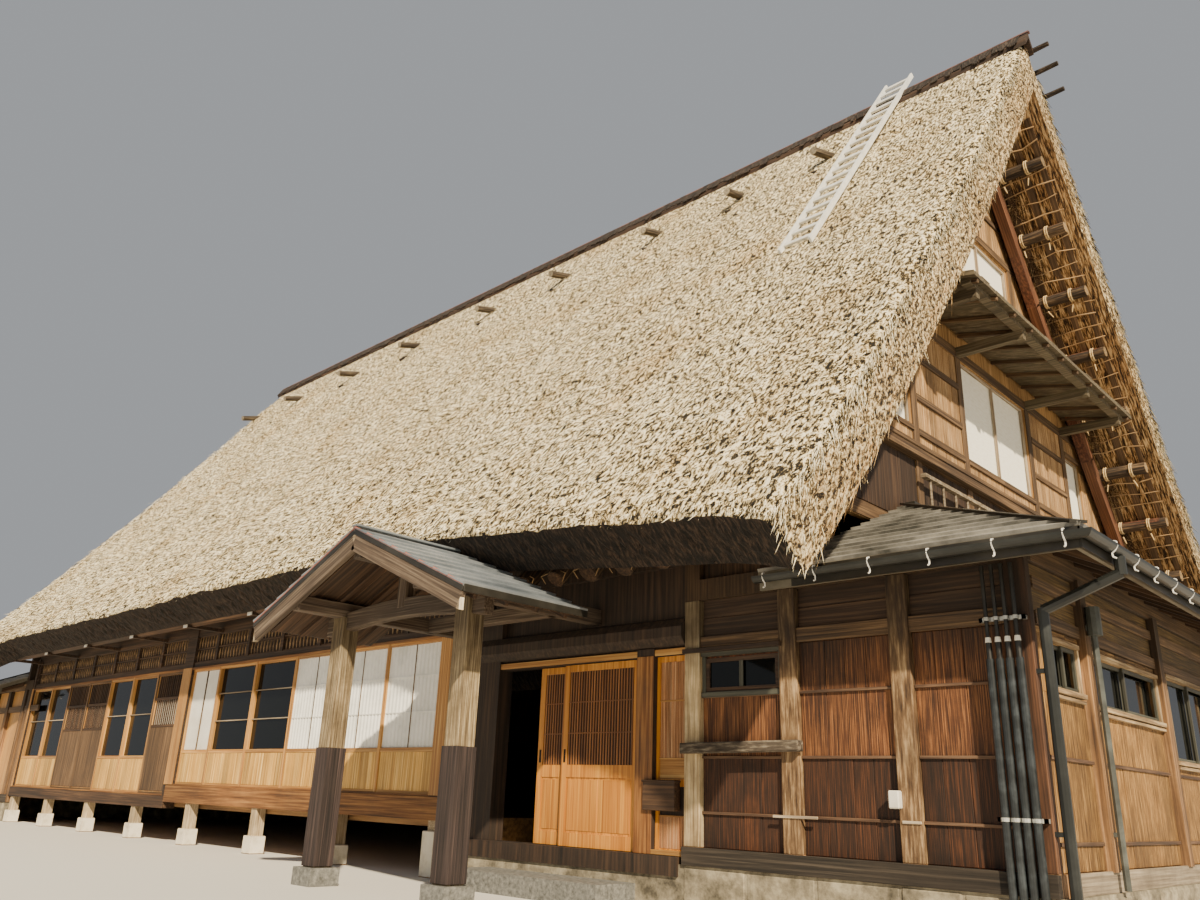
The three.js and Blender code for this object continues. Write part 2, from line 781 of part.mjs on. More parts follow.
// Porch: posts on stones, plates to the wall, tie and curved beams, ridge beam
const porchPostX = [4950, 6850];
const porchPostY = -1500;
const footingNames = ["porch_footing_left", "porch_footing_right"];
porchPostX.forEach((x, i) => {
  piece(
    footingNames[i],
    box(x - 150, x + 150, porchPostY - 150, porchPostY + 150, 0, 150 - gap),
    "stone",
  );
});
function curvedOutline(a, b, base, deep, rise) {
  const steps = 8;
  const low = range(steps + 1).map((i) => [
    a + ((b - a) * i) / steps,
    base + rise * Math.sin((Math.PI * i) / steps),
  ]);
  const high = low.map(([p, q]) => [p, q + deep]).reverse();
  return [...low, ...high];
}
const plateZ = [2390, 2531];
const beamOutline = curvedOutline(porchPostX[0] - 250, porchPostX[1] + 250, 2230, 170, 90);
const porchFrame = join(
  porchPostX.map((x) => box(x - 90, x + 90, porchPostY - 90, porchPostY + 90, 150, plateZ[0] + 10)),
  box(porchPostX[0] - 65, porchPostX[0] + 65, porchFront + 55 + gap, -20 - gap, ...plateZ),
  box(porchPostX[1] - 65, porchPostX[1] + 65, porchFront + 55 + gap, 60 - gap, ...plateZ),
  pushY(beamOutline, porchPostY - 55, porchPostY + 55),
  box(porchPostX[0], porchPostX[1], -560, -460, ...plateZ),
  box(porchX - 60, porchX + 60, porchPostY - 60, porchPostY + 60, 2400, 2800),
  box(porchX - 60, porchX + 60, -570, -450, 2480, 2700),
  box(porchX - 60, porchX + 60, porchFront + 55 + gap, -960, 2760, 2943.5),
);
piece("porch_frame", porchFrame, "greyWood");
const porchBack = -760;
function chevron(top, thick, half, y0, y1) {
  return pushY(
    [
      [porchX - half, top - half * porchPitch],
      [porchX - half, top - half * porchPitch - thick],
      [porchX, top - thick],
      [porchX + half, top - half * porchPitch - thick],
      [porchX + half, top - half * porchPitch],
      [porchX, top],
    ],
    y0,
    y1,
  );
}
piece(
  "porch_roof",
  cut(
    chevron(porchRidgeZ, 60, porchHalf, porchFront, porchBack),
    box(porchX - 700, porchX + 700, -950, porchBack + 50, 2600, 3100),
  ),
  "roofMetal",
);
piece(
  "porch_bargeboards",
  chevron(porchRidgeZ - 60.5, 150, porchHalf - 40, porchFront + 10, porchFront + 55),
  "greyWood",
);

// Ladders: two rails and rungs
function ladderSolid(a, b, spread, railDeep, railWide, step) {
  const from = new THREE.Vector3(...a);
  const to = new THREE.Vector3(...b);
  const across = new THREE.Vector3(...spread);
  const length = from.distanceTo(to);
  const rails = [0, 1].map((k) => {
    const s = from.clone().addScaledVector(across, k);
    const e = to.clone().addScaledVector(across, k);
    return bar(s.toArray(), e.toArray(), railWide, railDeep);
  });
  const count = Math.floor(length / step);
  const rungs = range(count).map((i) => {
    const p = from.clone().lerp(to, (i + 0.5) / count);
    return rod(p.toArray(), p.clone().add(across).toArray(), 15, 6);
  });
  return join(rails, rungs);
}
const ladderFoot = [2050, along(slopeLine, 2050).z + 1];
const ladderLean = [ridgeY, ridgeZ + capCrown + 1];
const ladderX = 7780;
const ladderLength = 5560;
const railDepth = 70;
const climb = new THREE.Vector2(
  ladderLean[0] - ladderFoot[0],
  ladderLean[1] - ladderFoot[1],
).normalize();
const onLadder = (distance) => [
  ladderX,
  ladderFoot[0] + climb.x * distance - (climb.y * railDepth) / 2,
  ladderFoot[1] + climb.y * distance + (climb.x * railDepth) / 2,
];
piece(
  "roof_ladder",
  ladderSolid(onLadder(0), onLadder(ladderLength), [420, 0, 0], railDepth, 28, 300),
  "ladder",
);
piece(
  "lean_to_ladder",
  ladderSolid([9140, 2480, 3697], [9140, 5500, 3697], [0, 0, 400], 40, 60, 300),
  "greyWood",
);

// Origin at the middle of the footprint, on the ground
const bounds = new THREE.Box3().setFromObject(group);
const middle = bounds.getCenter(new THREE.Vector3());
group.position.set(-middle.x, -middle.y, -bounds.min.z);
group.updateMatrixWorld(true);

export default group;
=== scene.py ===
# %% [markdown]
# # A thatched farmhouse, dressed around its frame
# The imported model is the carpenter's work: posts, walls, roof slopes and doors as plain solids in metres.
# This lesson adds what the eye looks for: straw, boards, lattices, ropes and weathered finishes. Everything
# is placed from the frame's own sizes, so that the two never drift apart.

# %% Load the frame
import math

import bmesh
import bpy
import numpy as np
from mathutils import Matrix, Vector


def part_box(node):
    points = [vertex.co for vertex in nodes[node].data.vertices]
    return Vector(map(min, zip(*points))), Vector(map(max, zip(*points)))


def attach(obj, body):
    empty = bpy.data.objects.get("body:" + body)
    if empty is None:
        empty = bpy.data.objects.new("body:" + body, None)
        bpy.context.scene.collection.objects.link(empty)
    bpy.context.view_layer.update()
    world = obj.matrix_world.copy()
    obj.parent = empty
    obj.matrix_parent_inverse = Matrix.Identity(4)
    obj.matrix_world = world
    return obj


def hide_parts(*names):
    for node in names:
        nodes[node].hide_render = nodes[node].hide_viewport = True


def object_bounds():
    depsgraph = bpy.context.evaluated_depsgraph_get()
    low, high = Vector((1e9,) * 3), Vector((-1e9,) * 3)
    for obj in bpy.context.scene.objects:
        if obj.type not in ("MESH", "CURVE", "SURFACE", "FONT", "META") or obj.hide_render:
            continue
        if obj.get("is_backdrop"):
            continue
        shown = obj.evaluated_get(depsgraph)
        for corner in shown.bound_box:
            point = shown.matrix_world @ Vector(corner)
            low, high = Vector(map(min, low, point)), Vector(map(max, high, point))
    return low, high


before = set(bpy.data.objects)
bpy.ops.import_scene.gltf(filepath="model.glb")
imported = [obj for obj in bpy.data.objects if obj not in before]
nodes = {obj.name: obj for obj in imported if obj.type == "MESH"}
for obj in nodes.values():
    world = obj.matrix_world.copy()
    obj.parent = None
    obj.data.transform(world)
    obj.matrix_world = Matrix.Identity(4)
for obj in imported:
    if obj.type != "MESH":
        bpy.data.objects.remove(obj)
cad_low, cad_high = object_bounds()
print("frame:", len(nodes), "nodes, size", [round(v, 3) for v in cad_high - cad_low])

# %% [markdown]
# ## House coordinates
# A carpenter measures from the wall, not from the middle of the plot. Here x runs along the ridge from the
# centre of the house, y runs back from the front wall and z runs up. The ridge stands over the middle of
# the depth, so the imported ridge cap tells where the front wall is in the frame.

# %% Sizes that the house is set out with
bay = 0.955
half_length, depth = 10.95, 9.88
gable_x = 9.04
ridge_y, ridge_z = depth / 2, 10.95
cap_low, cap_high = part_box("ridge_cap")
front_y = (cap_low.y + cap_high.y) / 2 - ridge_y
print("front wall face at y =", round(front_y, 4), "of the frame")

# %% [markdown]
# ## Colours and nodes
# Colours are given as sRGB hex values, and Blender mixes light in linear values, so one function
# turns the first into the second. A second one adds a node with its settings and its links, and four short
# ones name the nodes that every recipe needs: noise, a ramp of colours, a change of range and a mix.


# %% Colour and node helpers
def linear(colour):
    parts = [int(colour[i : i + 2], 16) / 255 for i in (1, 3, 5)]
    return tuple(c / 12.92 if c <= 0.04045 else ((c + 0.055) / 1.055) ** 2.4 for c in parts) + (1.0,)


def add(tree, kind, inputs=(), out=None, **settings):
    """Adds a node. Inputs take a value or another node's output. Returns one of the new node's outputs."""
    made = tree.nodes.new("ShaderNode" + kind)
    for name, value in settings.items():
        setattr(made, name, value)
    for name, value in dict(inputs).items():
        named = [s for s in made.inputs if s.enabled and s.name == name]
        socket = named[0] if named else made.inputs[name]
        if isinstance(value, bpy.types.NodeSocket):
            tree.links.new(value, socket)
        else:
            socket.default_value = value
    return made.outputs[out] if out else next(s for s in made.outputs if s.enabled)


def noise(tree, scale, detail, rough=0.5, **place):
    return add(tree, "TexNoise", {"Scale": scale, "Detail": detail, "Roughness": rough, **place})


def ramp(tree, share, *stops):
    """Colours by a value, from at least two stops of a place and a hex colour."""
    output = add(tree, "ValToRGB", {"Fac": share})
    elements = output.node.color_ramp.elements
    for i, (place, colour) in enumerate(stops):
        element = elements[0 if i == 0 else -1] if i in (0, len(stops) - 1) else elements.new(place)
        element.position, element.color = place, linear(colour)
    return output


def remap(tree, value, low, high, start, end):
    """Turns the range from low to high into the range from start to end."""
    ends = {"From Min": low, "From Max": high, "To Min": start, "To Max": end}
    return add(tree, "MapRange", {"Value": value, **ends})


def mix(tree, share, a, b, blend="MIX"):
    return add(tree, "Mix", {"Factor": share, "A": a, "B": b}, data_type="RGBA", blend_type=blend)


def surface(name, roughness, **values):
    """A material with values on its shader's own sockets. Returns the material, its tree and the shader."""
    material = bpy.data.materials.new(name)
    material.use_nodes = True
    shader = material.node_tree.nodes["Principled BSDF"]
    shader.inputs["Roughness"].default_value = roughness
    for socket, value in values.items():
        shader.inputs[socket.replace("_", " ")].default_value = value
    return material, material.node_tree, shader


def paint(tree, shader, colour, height=None, depth_mm=0, strength=1.0):
    """Links a colour to the shader, and a height as relief of some depth."""
    tree.links.new(colour, shader.inputs["Base Color"])
    if depth_mm:
        bump = add(tree, "Bump", {"Height": height, "Strength": strength, "Distance": depth_mm / 1000})
        tree.links.new(bump, shader.inputs["Normal"])


# %% [markdown]
# ## Timber
# Every wall, door and beam is cedar or cypress. Sawn timber shows long streaks of dense late wood, and one
# plank's tone differs from the next. A noise stretched along the grain draws the streaks. Each board made
# here carries a "grain" attribute: its own coordinates with z along the board, shifted at random, so that
# no two boards repeat. The frame's solids have no such attribute and use the place in the house instead,
# with the axis that most of their timbers run along. Streaks narrower than about 20 mm hardly show from the
# yard, so most are drawn that coarse. A recipe can also paint the eave's shade into the colour: it darkens
# the wood from 1.8 m up.


# %% A recipe for wood
def wood(name, colours, streak=24, length=1100, roughness=0.75, axis=None, worn=0.35, painted_eave_shade=0.0):
    """Colours from dark to pale and of stains, streaks of a width and length in mm, wear and painted eave
    shade.
    """
    material, tree, shader = surface(name, roughness)
    dark, middle, pale, stain = (colours + " #3A3129").split()[:4]
    scale = [1000 / streak] * 3
    scale["xyz".index(axis or "z")] = 1000 / length
    here = add(tree, "TexCoord", out="Object")
    place = here if axis else add(tree, "Attribute", attribute_name="grain", out="Vector")
    streaks = noise(tree, 1.0, 5.0, 0.62, Vector=add(tree, "Mapping", {"Vector": place, "Scale": scale}))
    bands = ramp(tree, streaks, (0.32, dark), (0.5, middle), (0.68, pale))
    level = remap(tree, noise(tree, 0.37, 1.0, Vector=place), 0.3, 0.7, 0.65, 1.25)
    toned = add(tree, "HueSaturation", {"Value": level, "Color": bands})
    amount = remap(tree, noise(tree, 1.6, 6.0, 0.7, Vector=here), 0.45, 0.75, 0.0, worn)
    stains_and_painted_shade = mix(tree, amount, toned, linear(stain))
    # Painted shade: from 1.8 m up the colour darkens towards near black, standing in for the eave's shadow.
    if painted_eave_shade:
        height = add(tree, "SeparateXYZ", {"Vector": here}, out="Z")
        stains_and_painted_shade = mix(tree, remap(tree, height, 1.8, 2.15, 0.0, painted_eave_shade), stains_and_painted_shade, linear("#17110B"))
    paint(tree, shader, stains_and_painted_shade, streaks, 4, 0.5)
    return material


# %% Timber finishes
grey_cedar = wood("weathered_grey_cedar", "#6F5F4B #A3927C #C9BDA6", 30)
cream_post = wood("sun_bleached_post", "#806C50 #BBA47C #DCCBA6 #4A3826", 22, 500, worn=0.7, painted_eave_shade=0.75)
mottled_post = wood("rain_mottled_post", "#3E2C1D #7A5E40 #BFA278 #2E2016", 26, 240, worn=0.8, painted_eave_shade=0.75)
red_post = wood("red_brown_corner_post", "#2A1A10 #553724 #80583C #1E130C", 20, 700, worn=0.6, painted_eave_shade=0.75)
# A dark cedar that stands in for shade: painted shade on boards under the gable ledge and the eaves.
shadow_cedar = wood("cedar_painted_shade", "#1D130D #35251A #54402E", 24)
batten_brown = wood("brown_batten", "#33241A #5A4231 #7E624A", 20, 500, worn=0.5)
grey_upright = wood("weathered_grey_cedar_upright", "#5E4E3B #A08D73 #CFC3AB", 34, axis="z", worn=0.6)
grey_level = wood("weathered_grey_cedar_level", "#5E503E #93836C #B7A98F", 34, axis="x", worn=0.6)
smoked_cedar = wood("smoke_darkened_cedar", "#22170F #432F20 #644A33", 26)
red_cedar = wood("red_brown_stained_cedar", "#1F110A #5E381E #A87244 #180D07", 8, 380, worn=0.85, painted_eave_shade=0.8)
# A darker copy of the red cedar for the boards below 1.17 m: a painted shadow.
low_shadow_red_cedar = wood("red_cedar_painted_shadow", "#140A05 #371F10 #663C20 #100804", 8, 380, worn=0.85)
gable_cedar = wood("gable_board_cedar", "#604428 #A47E50 #D6B68A #4E3822", 12, 500, worn=0.75)
brown_post = wood("brown_weathered_post", "#2E2117 #58432E #866B4C", 18, 900, worn=0.6)
honey_cypress = wood("oiled_honey_cypress", "#8C5C28 #B58242 #D8AC66", 20, 1400, 0.5, worn=0.25)
brown_cedar = wood("brown_shutter_cedar", "#3A2A1C #604932 #8A6C4C", 20, 900, worn=0.5)
pale_cypress = wood("pale_oiled_cypress", "#9C6E2A #D4A24C #F4CF80", 24, 1300, 0.5, worn=0.25)
door_cypress = wood("orange_oiled_cypress", "#985C1C #BC7C2C #D69A40", 22, 1500, 0.42, worn=0.08)
sill_cedar = wood("sill_cedar_level", "#452A14 #80552D #A97B45", 26, axis="x", worn=0.4)
print("timber finishes:", len(bpy.data.materials))

# %% [markdown]
# ## Boards, beams and poles as mesh
# A board wall has dozens of like timbers. Each could be a cube object, but then the file would hold
# thousands of objects. Instead small helpers give the corners and faces of one timber, and one function
# gathers a whole wall of them into a single mesh, turns the normals out and takes the arrises off with a
# narrow bevel.

# %% One timber at a time
dice = np.random.default_rng(11)
BOX_FACES = [(0, 2, 3, 1), (4, 5, 7, 6), (0, 1, 5, 4), (2, 6, 7, 3), (0, 4, 6, 2), (1, 3, 7, 5)]


def beam(a, b, wide, deep, up=(0, 0, 1)):
    """A rectangular timber from a to b, its depth measured towards up. Returns corners, faces and grain."""
    a, b = np.array(a, float), np.array(b, float)
    length = np.linalg.norm(b - a)
    run = (b - a) / length
    side = np.cross(up, run)
    side /= np.linalg.norm(side)
    rise = np.cross(run, side)
    ends = [(s, t) for t in (-deep / 2, deep / 2) for s in (-wide / 2, wide / 2)]
    local = np.array([(*end, r) for r in (0, length) for end in ends])
    return a + local @ np.array([side, rise, run]), BOX_FACES, local


def block(x0, x1, y0, y1, z0, z1):
    """A level timber or board that fills these ranges, with its grain along the longest of them."""
    low, high = np.array([x0, y0, z0], float), np.array([x1, y1, z1], float)
    middle = (low + high) / 2
    run = int(np.argmax(high - low))
    a, b = middle.copy(), middle.copy()
    a[run], b[run] = low[run], high[run]
    size = high - low
    up = 1 if run == 2 else 2
    return beam(a, b, size[3 - run - up], size[up], np.eye(3)[up])


def blocks(*rows):
    """One block for each row of six numbers."""
    return [block(*row) for row in rows]


def tube_faces(count):
    """Faces of a closed tube between two rings of count corners."""
    sleeve = [(k, (k + 1) % count, count + (k + 1) % count, count + k) for k in range(count)]
    return sleeve + [tuple(reversed(range(count))), tuple(range(count, 2 * count))]


def pole(a, b, radius, tip=None, sides=8):
    """A round pole from a to b, thinner at b if tip is given."""
    a, b = np.array(a, float), np.array(b, float)
    length = np.linalg.norm(b - a)
    run = (b - a) / length
    side = np.cross(run, (0, 0, 1) if abs(run[2]) < 0.9 else (0, 1, 0))
    side /= np.linalg.norm(side)
    turns = [2 * math.pi * k / sides for k in range(sides)]
    rings = ((radius, 0), (tip or radius, length))
    local = np.array([(r * math.cos(t), r * math.sin(t), z) for r, z in rings for t in turns])
    return a + local @ np.array([side, np.cross(run, side), run]), tube_faces(sides), local


def plate(outline, axis, start, end, run=2):
    """A flat outline of two coordinates pushed along the third axis, with its grain along the axis run."""
    count = len(outline)
    corners = np.zeros((2 * count, 3))
    corners[:, [i for i in range(3) if i != axis]] = list(outline) * 2
    corners[:count, axis], corners[count:, axis] = start, end
    return corners, tube_faces(count), corners[:, [i for i in range(3) if i != run] + [run]]


def flipped(timbers, axis, centre=0.0):
    """The same timbers mirrored across a plane."""
    result = []
    for corners, faces, grain in timbers:
        turned = corners.copy()
        turned[:, axis] = 2 * centre - turned[:, axis]
        result.append((turned, [tuple(reversed(f)) for f in faces], grain))
    return result


def both_sides(timbers):
    """Timbers of the front half and their mirror image in the middle of the house's depth."""
    return timbers + flipped(timbers, 1, ridge_y)


# %% A whole piece from many timbers
def make(name, timbers, finish, body="house", bevel=0.003, smooth=False):
    corners, faces, grain, start = [], [], [], 0
    for points, around, local in timbers:
        corners.append(points)
        grain.append(local + dice.uniform(-60, 60, 3))
        faces += [tuple(start + i for i in f) for f in around]
        start += len(points)
    mesh = bpy.data.meshes.new(name)
    mesh.from_pydata(np.concatenate(corners) + (0, front_y, 0), [], faces)
    set_points(mesh, "grain", np.concatenate(grain))
    return place_piece(name, mesh, [finish], body, bevel, smooth)


def make_ends(*rows, bevel=0.003):
    """Pieces of the right end, then their mirror images at the left one. Each row holds a name, timbers and a
    finish for make(), and a slot name, which is not used.
    """
    for hand in ("right", "left"):
        for name, timbers, finish, slot in rows:
            turned = timbers if hand == "right" else flipped(timbers, 0)
            make(f"{name}_{hand}", turned, finish, bevel=bevel)


def set_points(mesh, name, values):
    """Gives each point of a mesh a value of its own: three numbers or one."""
    kind, key = ("FLOAT_VECTOR", "vector") if values.ndim == 2 else ("FLOAT", "value")
    mesh.attributes.new(name, kind, "POINT").data.foreach_set(key, values.ravel())


def place_piece(name, mesh, finishes, body="house", bevel=0.0, smooth=False):
    """Turns the faces out, gives the mesh its finishes and lets it ride on a body of the frame."""
    shell = bmesh.new()
    shell.from_mesh(mesh)
    bmesh.ops.recalc_face_normals(shell, faces=shell.faces)
    shell.to_mesh(mesh)
    shell.free()
    for finish in finishes:
        mesh.materials.append(finish)
    mesh.polygons.foreach_set("use_smooth", [smooth] * len(mesh.polygons))
    piece = bpy.data.objects.new(name, mesh)
    bpy.context.scene.collection.objects.link(piece)
    if bevel:
        edge = piece.modifiers.new("worn_arris", "BEVEL")
        edge.width, edge.segments, edge.limit_method = bevel, 1, "ANGLE"
        edge.angle_limit = math.radians(50)
    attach(piece, body)
    print(f"{name}: {len(mesh.vertices)} points, {len(mesh.polygons)} faces")
    return piece


# %% [markdown]
# ## The straw roof
# The roof is bundles of dry grass laid from the eave up, half a metre thick, and combed and cut so that
# only the ends show. It could be particle hair, but hair isn't part of an exported mesh. So the roof is a
# dense closed coat that follows the frame's slope and is pushed in and out by soft noise, and on it lie
# many thousands of slim spikes, one for each bundle end. Both use the same coordinates: x along the ridge,
# v down the slope, and a share of the thickness from the outer face to the inner one.

# %% The slope's outline
straw_thick, half_roof, box_inset = 0.5, 10.05, 0.002
slope_y = (4.94, 3.45, 1.96, 0.47, -1.02, -2.02)
slope = np.column_stack([slope_y, (10.95, 8.892, 6.925, 5.067, 3.28, 2.081)])
rises = np.diff(slope[:, 1]) / np.diff(slope[:, 0])
corner_rises = np.concatenate([[rises[0]], (rises[1:] + rises[:-1]) / 2, [rises[-1]]])
under = slope - np.outer(np.hypot(1, corner_rises) * straw_thick, (0, 1))
pitch = math.atan2(ridge_z - slope[4, 1], ridge_y - slope[4, 0])
down = np.array([-math.cos(pitch), -math.sin(pitch)])
out = np.array([-math.sin(pitch), math.cos(pitch)])
outer_line, inner_line = [(line - (ridge_y, ridge_z)) @ np.array([down, out]).T for line in (slope, under)]
inner_start = inner_line[0, 0]
verge_v, verge_x = (-0.3, 3.0, 6.5, 9.2, 10.1, 10.62), (10.02, 10.04, 10.06, 10.07, 10.04, 9.97)
eave_x = (-9.97, -9.5, -8.7, -7.6, 4.95, 6.1, 7.25, 8.4, 9.25, 9.55, 9.8, 9.97)
eave_v = (10.62, 10.384, 9.98, 9.713, 9.713, 9.869, 10.041, 10.243, 10.37, 10.45, 10.54, 10.62)
print("mean pitch", round(math.degrees(pitch), 1), "degrees")


# %% From straw coordinates to the house
def slope_place(across, reach, share):
    """x, v and height over the mean slope. across runs from verge to verge, reach from ridge to eave."""
    x = across * half_roof
    for _ in range(4):
        top = share * inner_start
        v = top + reach * (np.interp(x, eave_x, eave_v) - top)
        x = across * np.interp(v, verge_v, verge_x)
    w = (1 - share) * np.interp(v, *outer_line.T) + share * np.interp(v, *inner_line.T)
    return x, v, w


def straw_mesh(name, flat, faces, tones, rear):
    """A mesh in the frame from straw coordinates, on the front slope or mirrored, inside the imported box."""
    x, v, w = flat.T
    y = ridge_y + v * down[0] + w * out[0]
    z = ridge_z + v * down[1] + w * out[1]
    placed = np.stack([x, depth - y if rear else y, z], axis=-1) + (0, front_y, 0)
    mesh = bpy.data.meshes.new(name)
    placed = np.clip(placed, np.array(cad_low) + box_inset, np.array(cad_high) - box_inset)
    mesh.from_pydata(placed, [], faces)
    set_points(mesh, "grain", flat[:, [0, 2, 1]])
    set_points(mesh, "tone", tones)
    return mesh


def ripple(a, b, cell, seed):
    """Soft random hills over two coordinates, from -1 to 1, about one hill to a cell."""
    table = np.random.default_rng(seed).uniform(-1, 1, (256, 256))
    a, b = np.asarray(a) / cell + 1000, np.asarray(b) / cell + 1000
    i, j = np.floor(a).astype(int), np.floor(b).astype(int)
    s, t = [f * f * (3 - 2 * f) for f in (a - i, b - j)]
    near = table[i % 256, j % 256] * (1 - s) + table[(i + 1) % 256, j % 256] * s
    far = table[i % 256, (j + 1) % 256] * (1 - s) + table[(i + 1) % 256, (j + 1) % 256] * s
    return near * (1 - t) + far * t


def straw_lift(x, v, seed):
    """How far the combed surface stands above the frame's slope: waves, bundles and loose ends."""
    waves = 0.024 * ripple(x, v, 1.3, seed) + 0.016 * ripple(x, v, 0.42, seed + 1)
    bundles = 0.018 * ripple(x, v * 0.7, 0.13, seed + 2)
    away_from_cap = np.clip((v - 0.5) / 0.5, 0, 1)
    to_edge = np.clip((np.interp(x, eave_x, eave_v) - v) / 0.16, 0, 1)
    return (waves + bundles) * away_from_cap - 0.05 * (1 - to_edge) ** 2


def rounded(x, v, w, depth_in=None, radius=0.2):
    """Rolls the outer face over into the verge's cut, since straw is combed round and never left square."""
    edge = np.interp(v, verge_v, verge_x)
    if depth_in is None:
        turn = (1 - np.clip((edge - np.abs(x)) / radius, 0, 1)) * math.pi / 4
    else:
        turn = (1 + np.clip(depth_in / radius, 0, 1)) * math.pi / 4
    near = turn > 0 if depth_in is None else depth_in < radius
    x = np.where(near, np.sign(x) * (edge - radius + radius * np.sin(turn)), x)
    fall = radius * (1 - np.cos(turn)) - (0 if depth_in is None else depth_in)
    return x, np.where(near, w - fall, w)


# %% [markdown]
# ## What straw looks like
# Dry susuki grass is matt and pale where rain has washed it, with darker gaps between the bundle ends, whose
# dark is painted shade. The cut eave and the straw under the eave are drawn dark brown: painted shade. A
# stalk is 4 mm thick, too fine to show from the yard, so the pattern is drawn with bundle ends of 30 mm by
# 70 mm, longer down the slope than across it. The spikes carry their own random tone and share the recipe.


# %% Straw finishes
def straw(name, colours, bundle_mm, patch):
    """Four colours from the gaps, whose dark paints their shade, to the palest ends, a bundle end's size, and
    a tone that stains it.
    """
    material, tree, shader = surface(name, 0.95)
    place = add(tree, "Attribute", attribute_name="grain", out="Vector")
    tone = add(tree, "Attribute", attribute_name="tone", out="Fac")
    stretched = add(tree, "Mapping", {"Vector": place, "Scale": [1000 / size for size in bundle_mm]})
    ends = noise(tree, 1.0, 5.0, 0.7, Vector=stretched)
    mixed = add(tree, "Math", {0: ends, 1: tone}, operation="ADD")
    # The darkest stop paints the shade in the gaps between bundle ends.
    bands = ramp(tree, mixed, *zip((0.42, 0.48, 0.53, 0.6), colours.split()))
    amount = remap(tree, noise(tree, 0.8, 5.0, Vector=place), 0.5, 0.72, 0.0, 0.5)
    paint(tree, shader, mix(tree, amount, bands, linear(patch), "MULTIPLY"), ends, 30, 0.8)
    return material


washed_straw = straw("rain_washed_straw", "#0C0803 #5A4A2E #EFD9A6 #FFF8DE", (32, 32, 70), "#D0B582")
cut_straw = straw("cut_straw_ends", "#1A120A #6E5A3E #C2AA7E #EEDDB6", (30, 30, 54), "#C4AC84")
# The cut eave and the straw under the eave are dark copies of the straw: painted shade.
brown_cut = straw("shaded_straw_cut", "#0A0704 #17100A #2A1F16 #42342A", (26, 100, 46), "#A38C70")
warm_straw = straw("dry_golden_straw", "#24170C #6A4E2E #A88252 #DCBC8A", (22, 50, 200), "#BE9C70")
straw_underside_painted_shade = straw("straw_underside_painted_shade", "#1A120B #31241A #4A3A2A #6B5740", (26, 60, 220), "#8C7A66")

# %% [markdown]
# ## The coat
# A subdivided grid can't close itself, and an open sheet would show its edge at the eave. So the coat is
# built as one closed skin: a fine grid on the outer face, short rows over the eave and both verges where
# the straw is cut off, and a coarse grid under the roof, where battens and poles will cover it. The noise
# only moves the outer face and the cuts, and it fades out under the ridge cap.


# %% The coat of one slope
def straw_coat(name, rear, columns, rows, seed, replaced):
    across = np.linspace(-1, 1, columns + 1)
    reach = np.linspace(0, 1, rows + 1)
    share = np.linspace(0, 1, 7)
    points, faces, kinds = [], [], []

    def patch(a, r, s):
        """Adds a grid of points and returns their numbers."""
        a, r, s = np.broadcast_arrays(a, r, s)
        x, v, w = slope_place(a, r, s)
        ragged = 0.022 * ripple(x * 3 + s * 9, v * 3 + s * 7, 0.21, seed + 5)
        inside = np.sin(np.pi * np.clip(s, 0, 1))
        at_verge = np.abs(a) > 0.999
        level = w + straw_lift(x, v, seed) * (1 - s)
        if np.max(s) == 0:
            x, level = rounded(x, v, level)
        elif at_verge.all():
            x, level = rounded(x, v, level, s * straw_thick)
        v = v + np.where(r > 0.999, ragged * inside, 0)
        x = x + np.where(at_verge, np.sign(a) * (ragged * inside - 0.01), 0)
        start = sum(len(p) for p in points)
        points.append(np.stack([x, v, level], -1).reshape(-1, 3))
        return start + np.arange(a.size).reshape(a.shape)

    def skin(grid, kind):
        """Faces between neighbouring points of a grid, with one finish."""
        a, b, c, d = grid[:-1, :-1], grid[1:, :-1], grid[1:, 1:], grid[:-1, 1:]
        faces.extend(np.stack([a, b, c, d], -1).reshape(-1, 4).tolist())
        kinds.extend([kind] * a.size)

    top = patch(across[:, None], reach[None, :], 0.0)
    eave = np.concatenate([top[:, -1:], patch(across[:, None], 1.0, share[None, 1:])], axis=1)
    verges = []
    for end, edge, corner in ((-1.0, top[0], eave[0]), (1.0, top[-1], eave[-1])):
        inner = patch(end, reach[:-1, None], share[None, 1:])
        side = np.concatenate([edge[:-1, None], inner], axis=1)
        verges.append(np.concatenate([side, corner[None, :]], axis=0))
    left, right = verges
    for grid, kind in ((top, 0), (left, 1), (right, 1), (eave, 2)):
        skin(grid, kind)
    coarse = np.arange(0, columns + 1, columns // 19)
    beneath = patch(across[coarse[1:-1], None], reach[None, :-1], 1.0)
    beneath = np.concatenate([left[None, :-1, -1], beneath, right[None, :-1, -1]])
    # Under the eave the underside takes the dark copy, painted shade; near both verges the golden one.
    for grid, kind in ((beneath[:2], 3), (beneath[1:-1], 4), (beneath[-2:], 3)):
        skin(grid, kind)
    for k in range(len(coarse) - 1):
        faces.append([beneath[k + 1, -1], beneath[k, -1], *eave[coarse[k] : coarse[k + 1] + 1, -1]])
    faces.append([*top[:, 0], *right[0, 1:], *beneath[-2::-1, 0], *left[0, -2:0:-1]])
    kinds += [4] * (len(faces) - len(kinds))
    flat = np.concatenate(points)
    mesh = straw_mesh(name, flat, faces, np.zeros(len(flat)), rear)
    piece = place_piece(name, mesh, [washed_straw, cut_straw, brown_cut, warm_straw, straw_underside_painted_shade])
    mesh.polygons.foreach_set("material_index", kinds)
    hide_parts(replaced)


# %% Both slopes
straw_coat("straw_coat_front", False, 380, 200, 21, "thatch_front")
straw_coat("straw_coat_rear", True, 280, 150, 41, "thatch_rear")

# %% [markdown]
# ## Bundle ends and loose stalks
# What makes straw read as straw is its silhouette and the tiny shadows between the ends. Each end here is a
# slim closed spike with its foot inside the coat. They are scattered at random from fixed seeds, thin out
# under the cap, and lean a little off the slope. At the eave and along the verges longer stalks hang out of
# the cut.


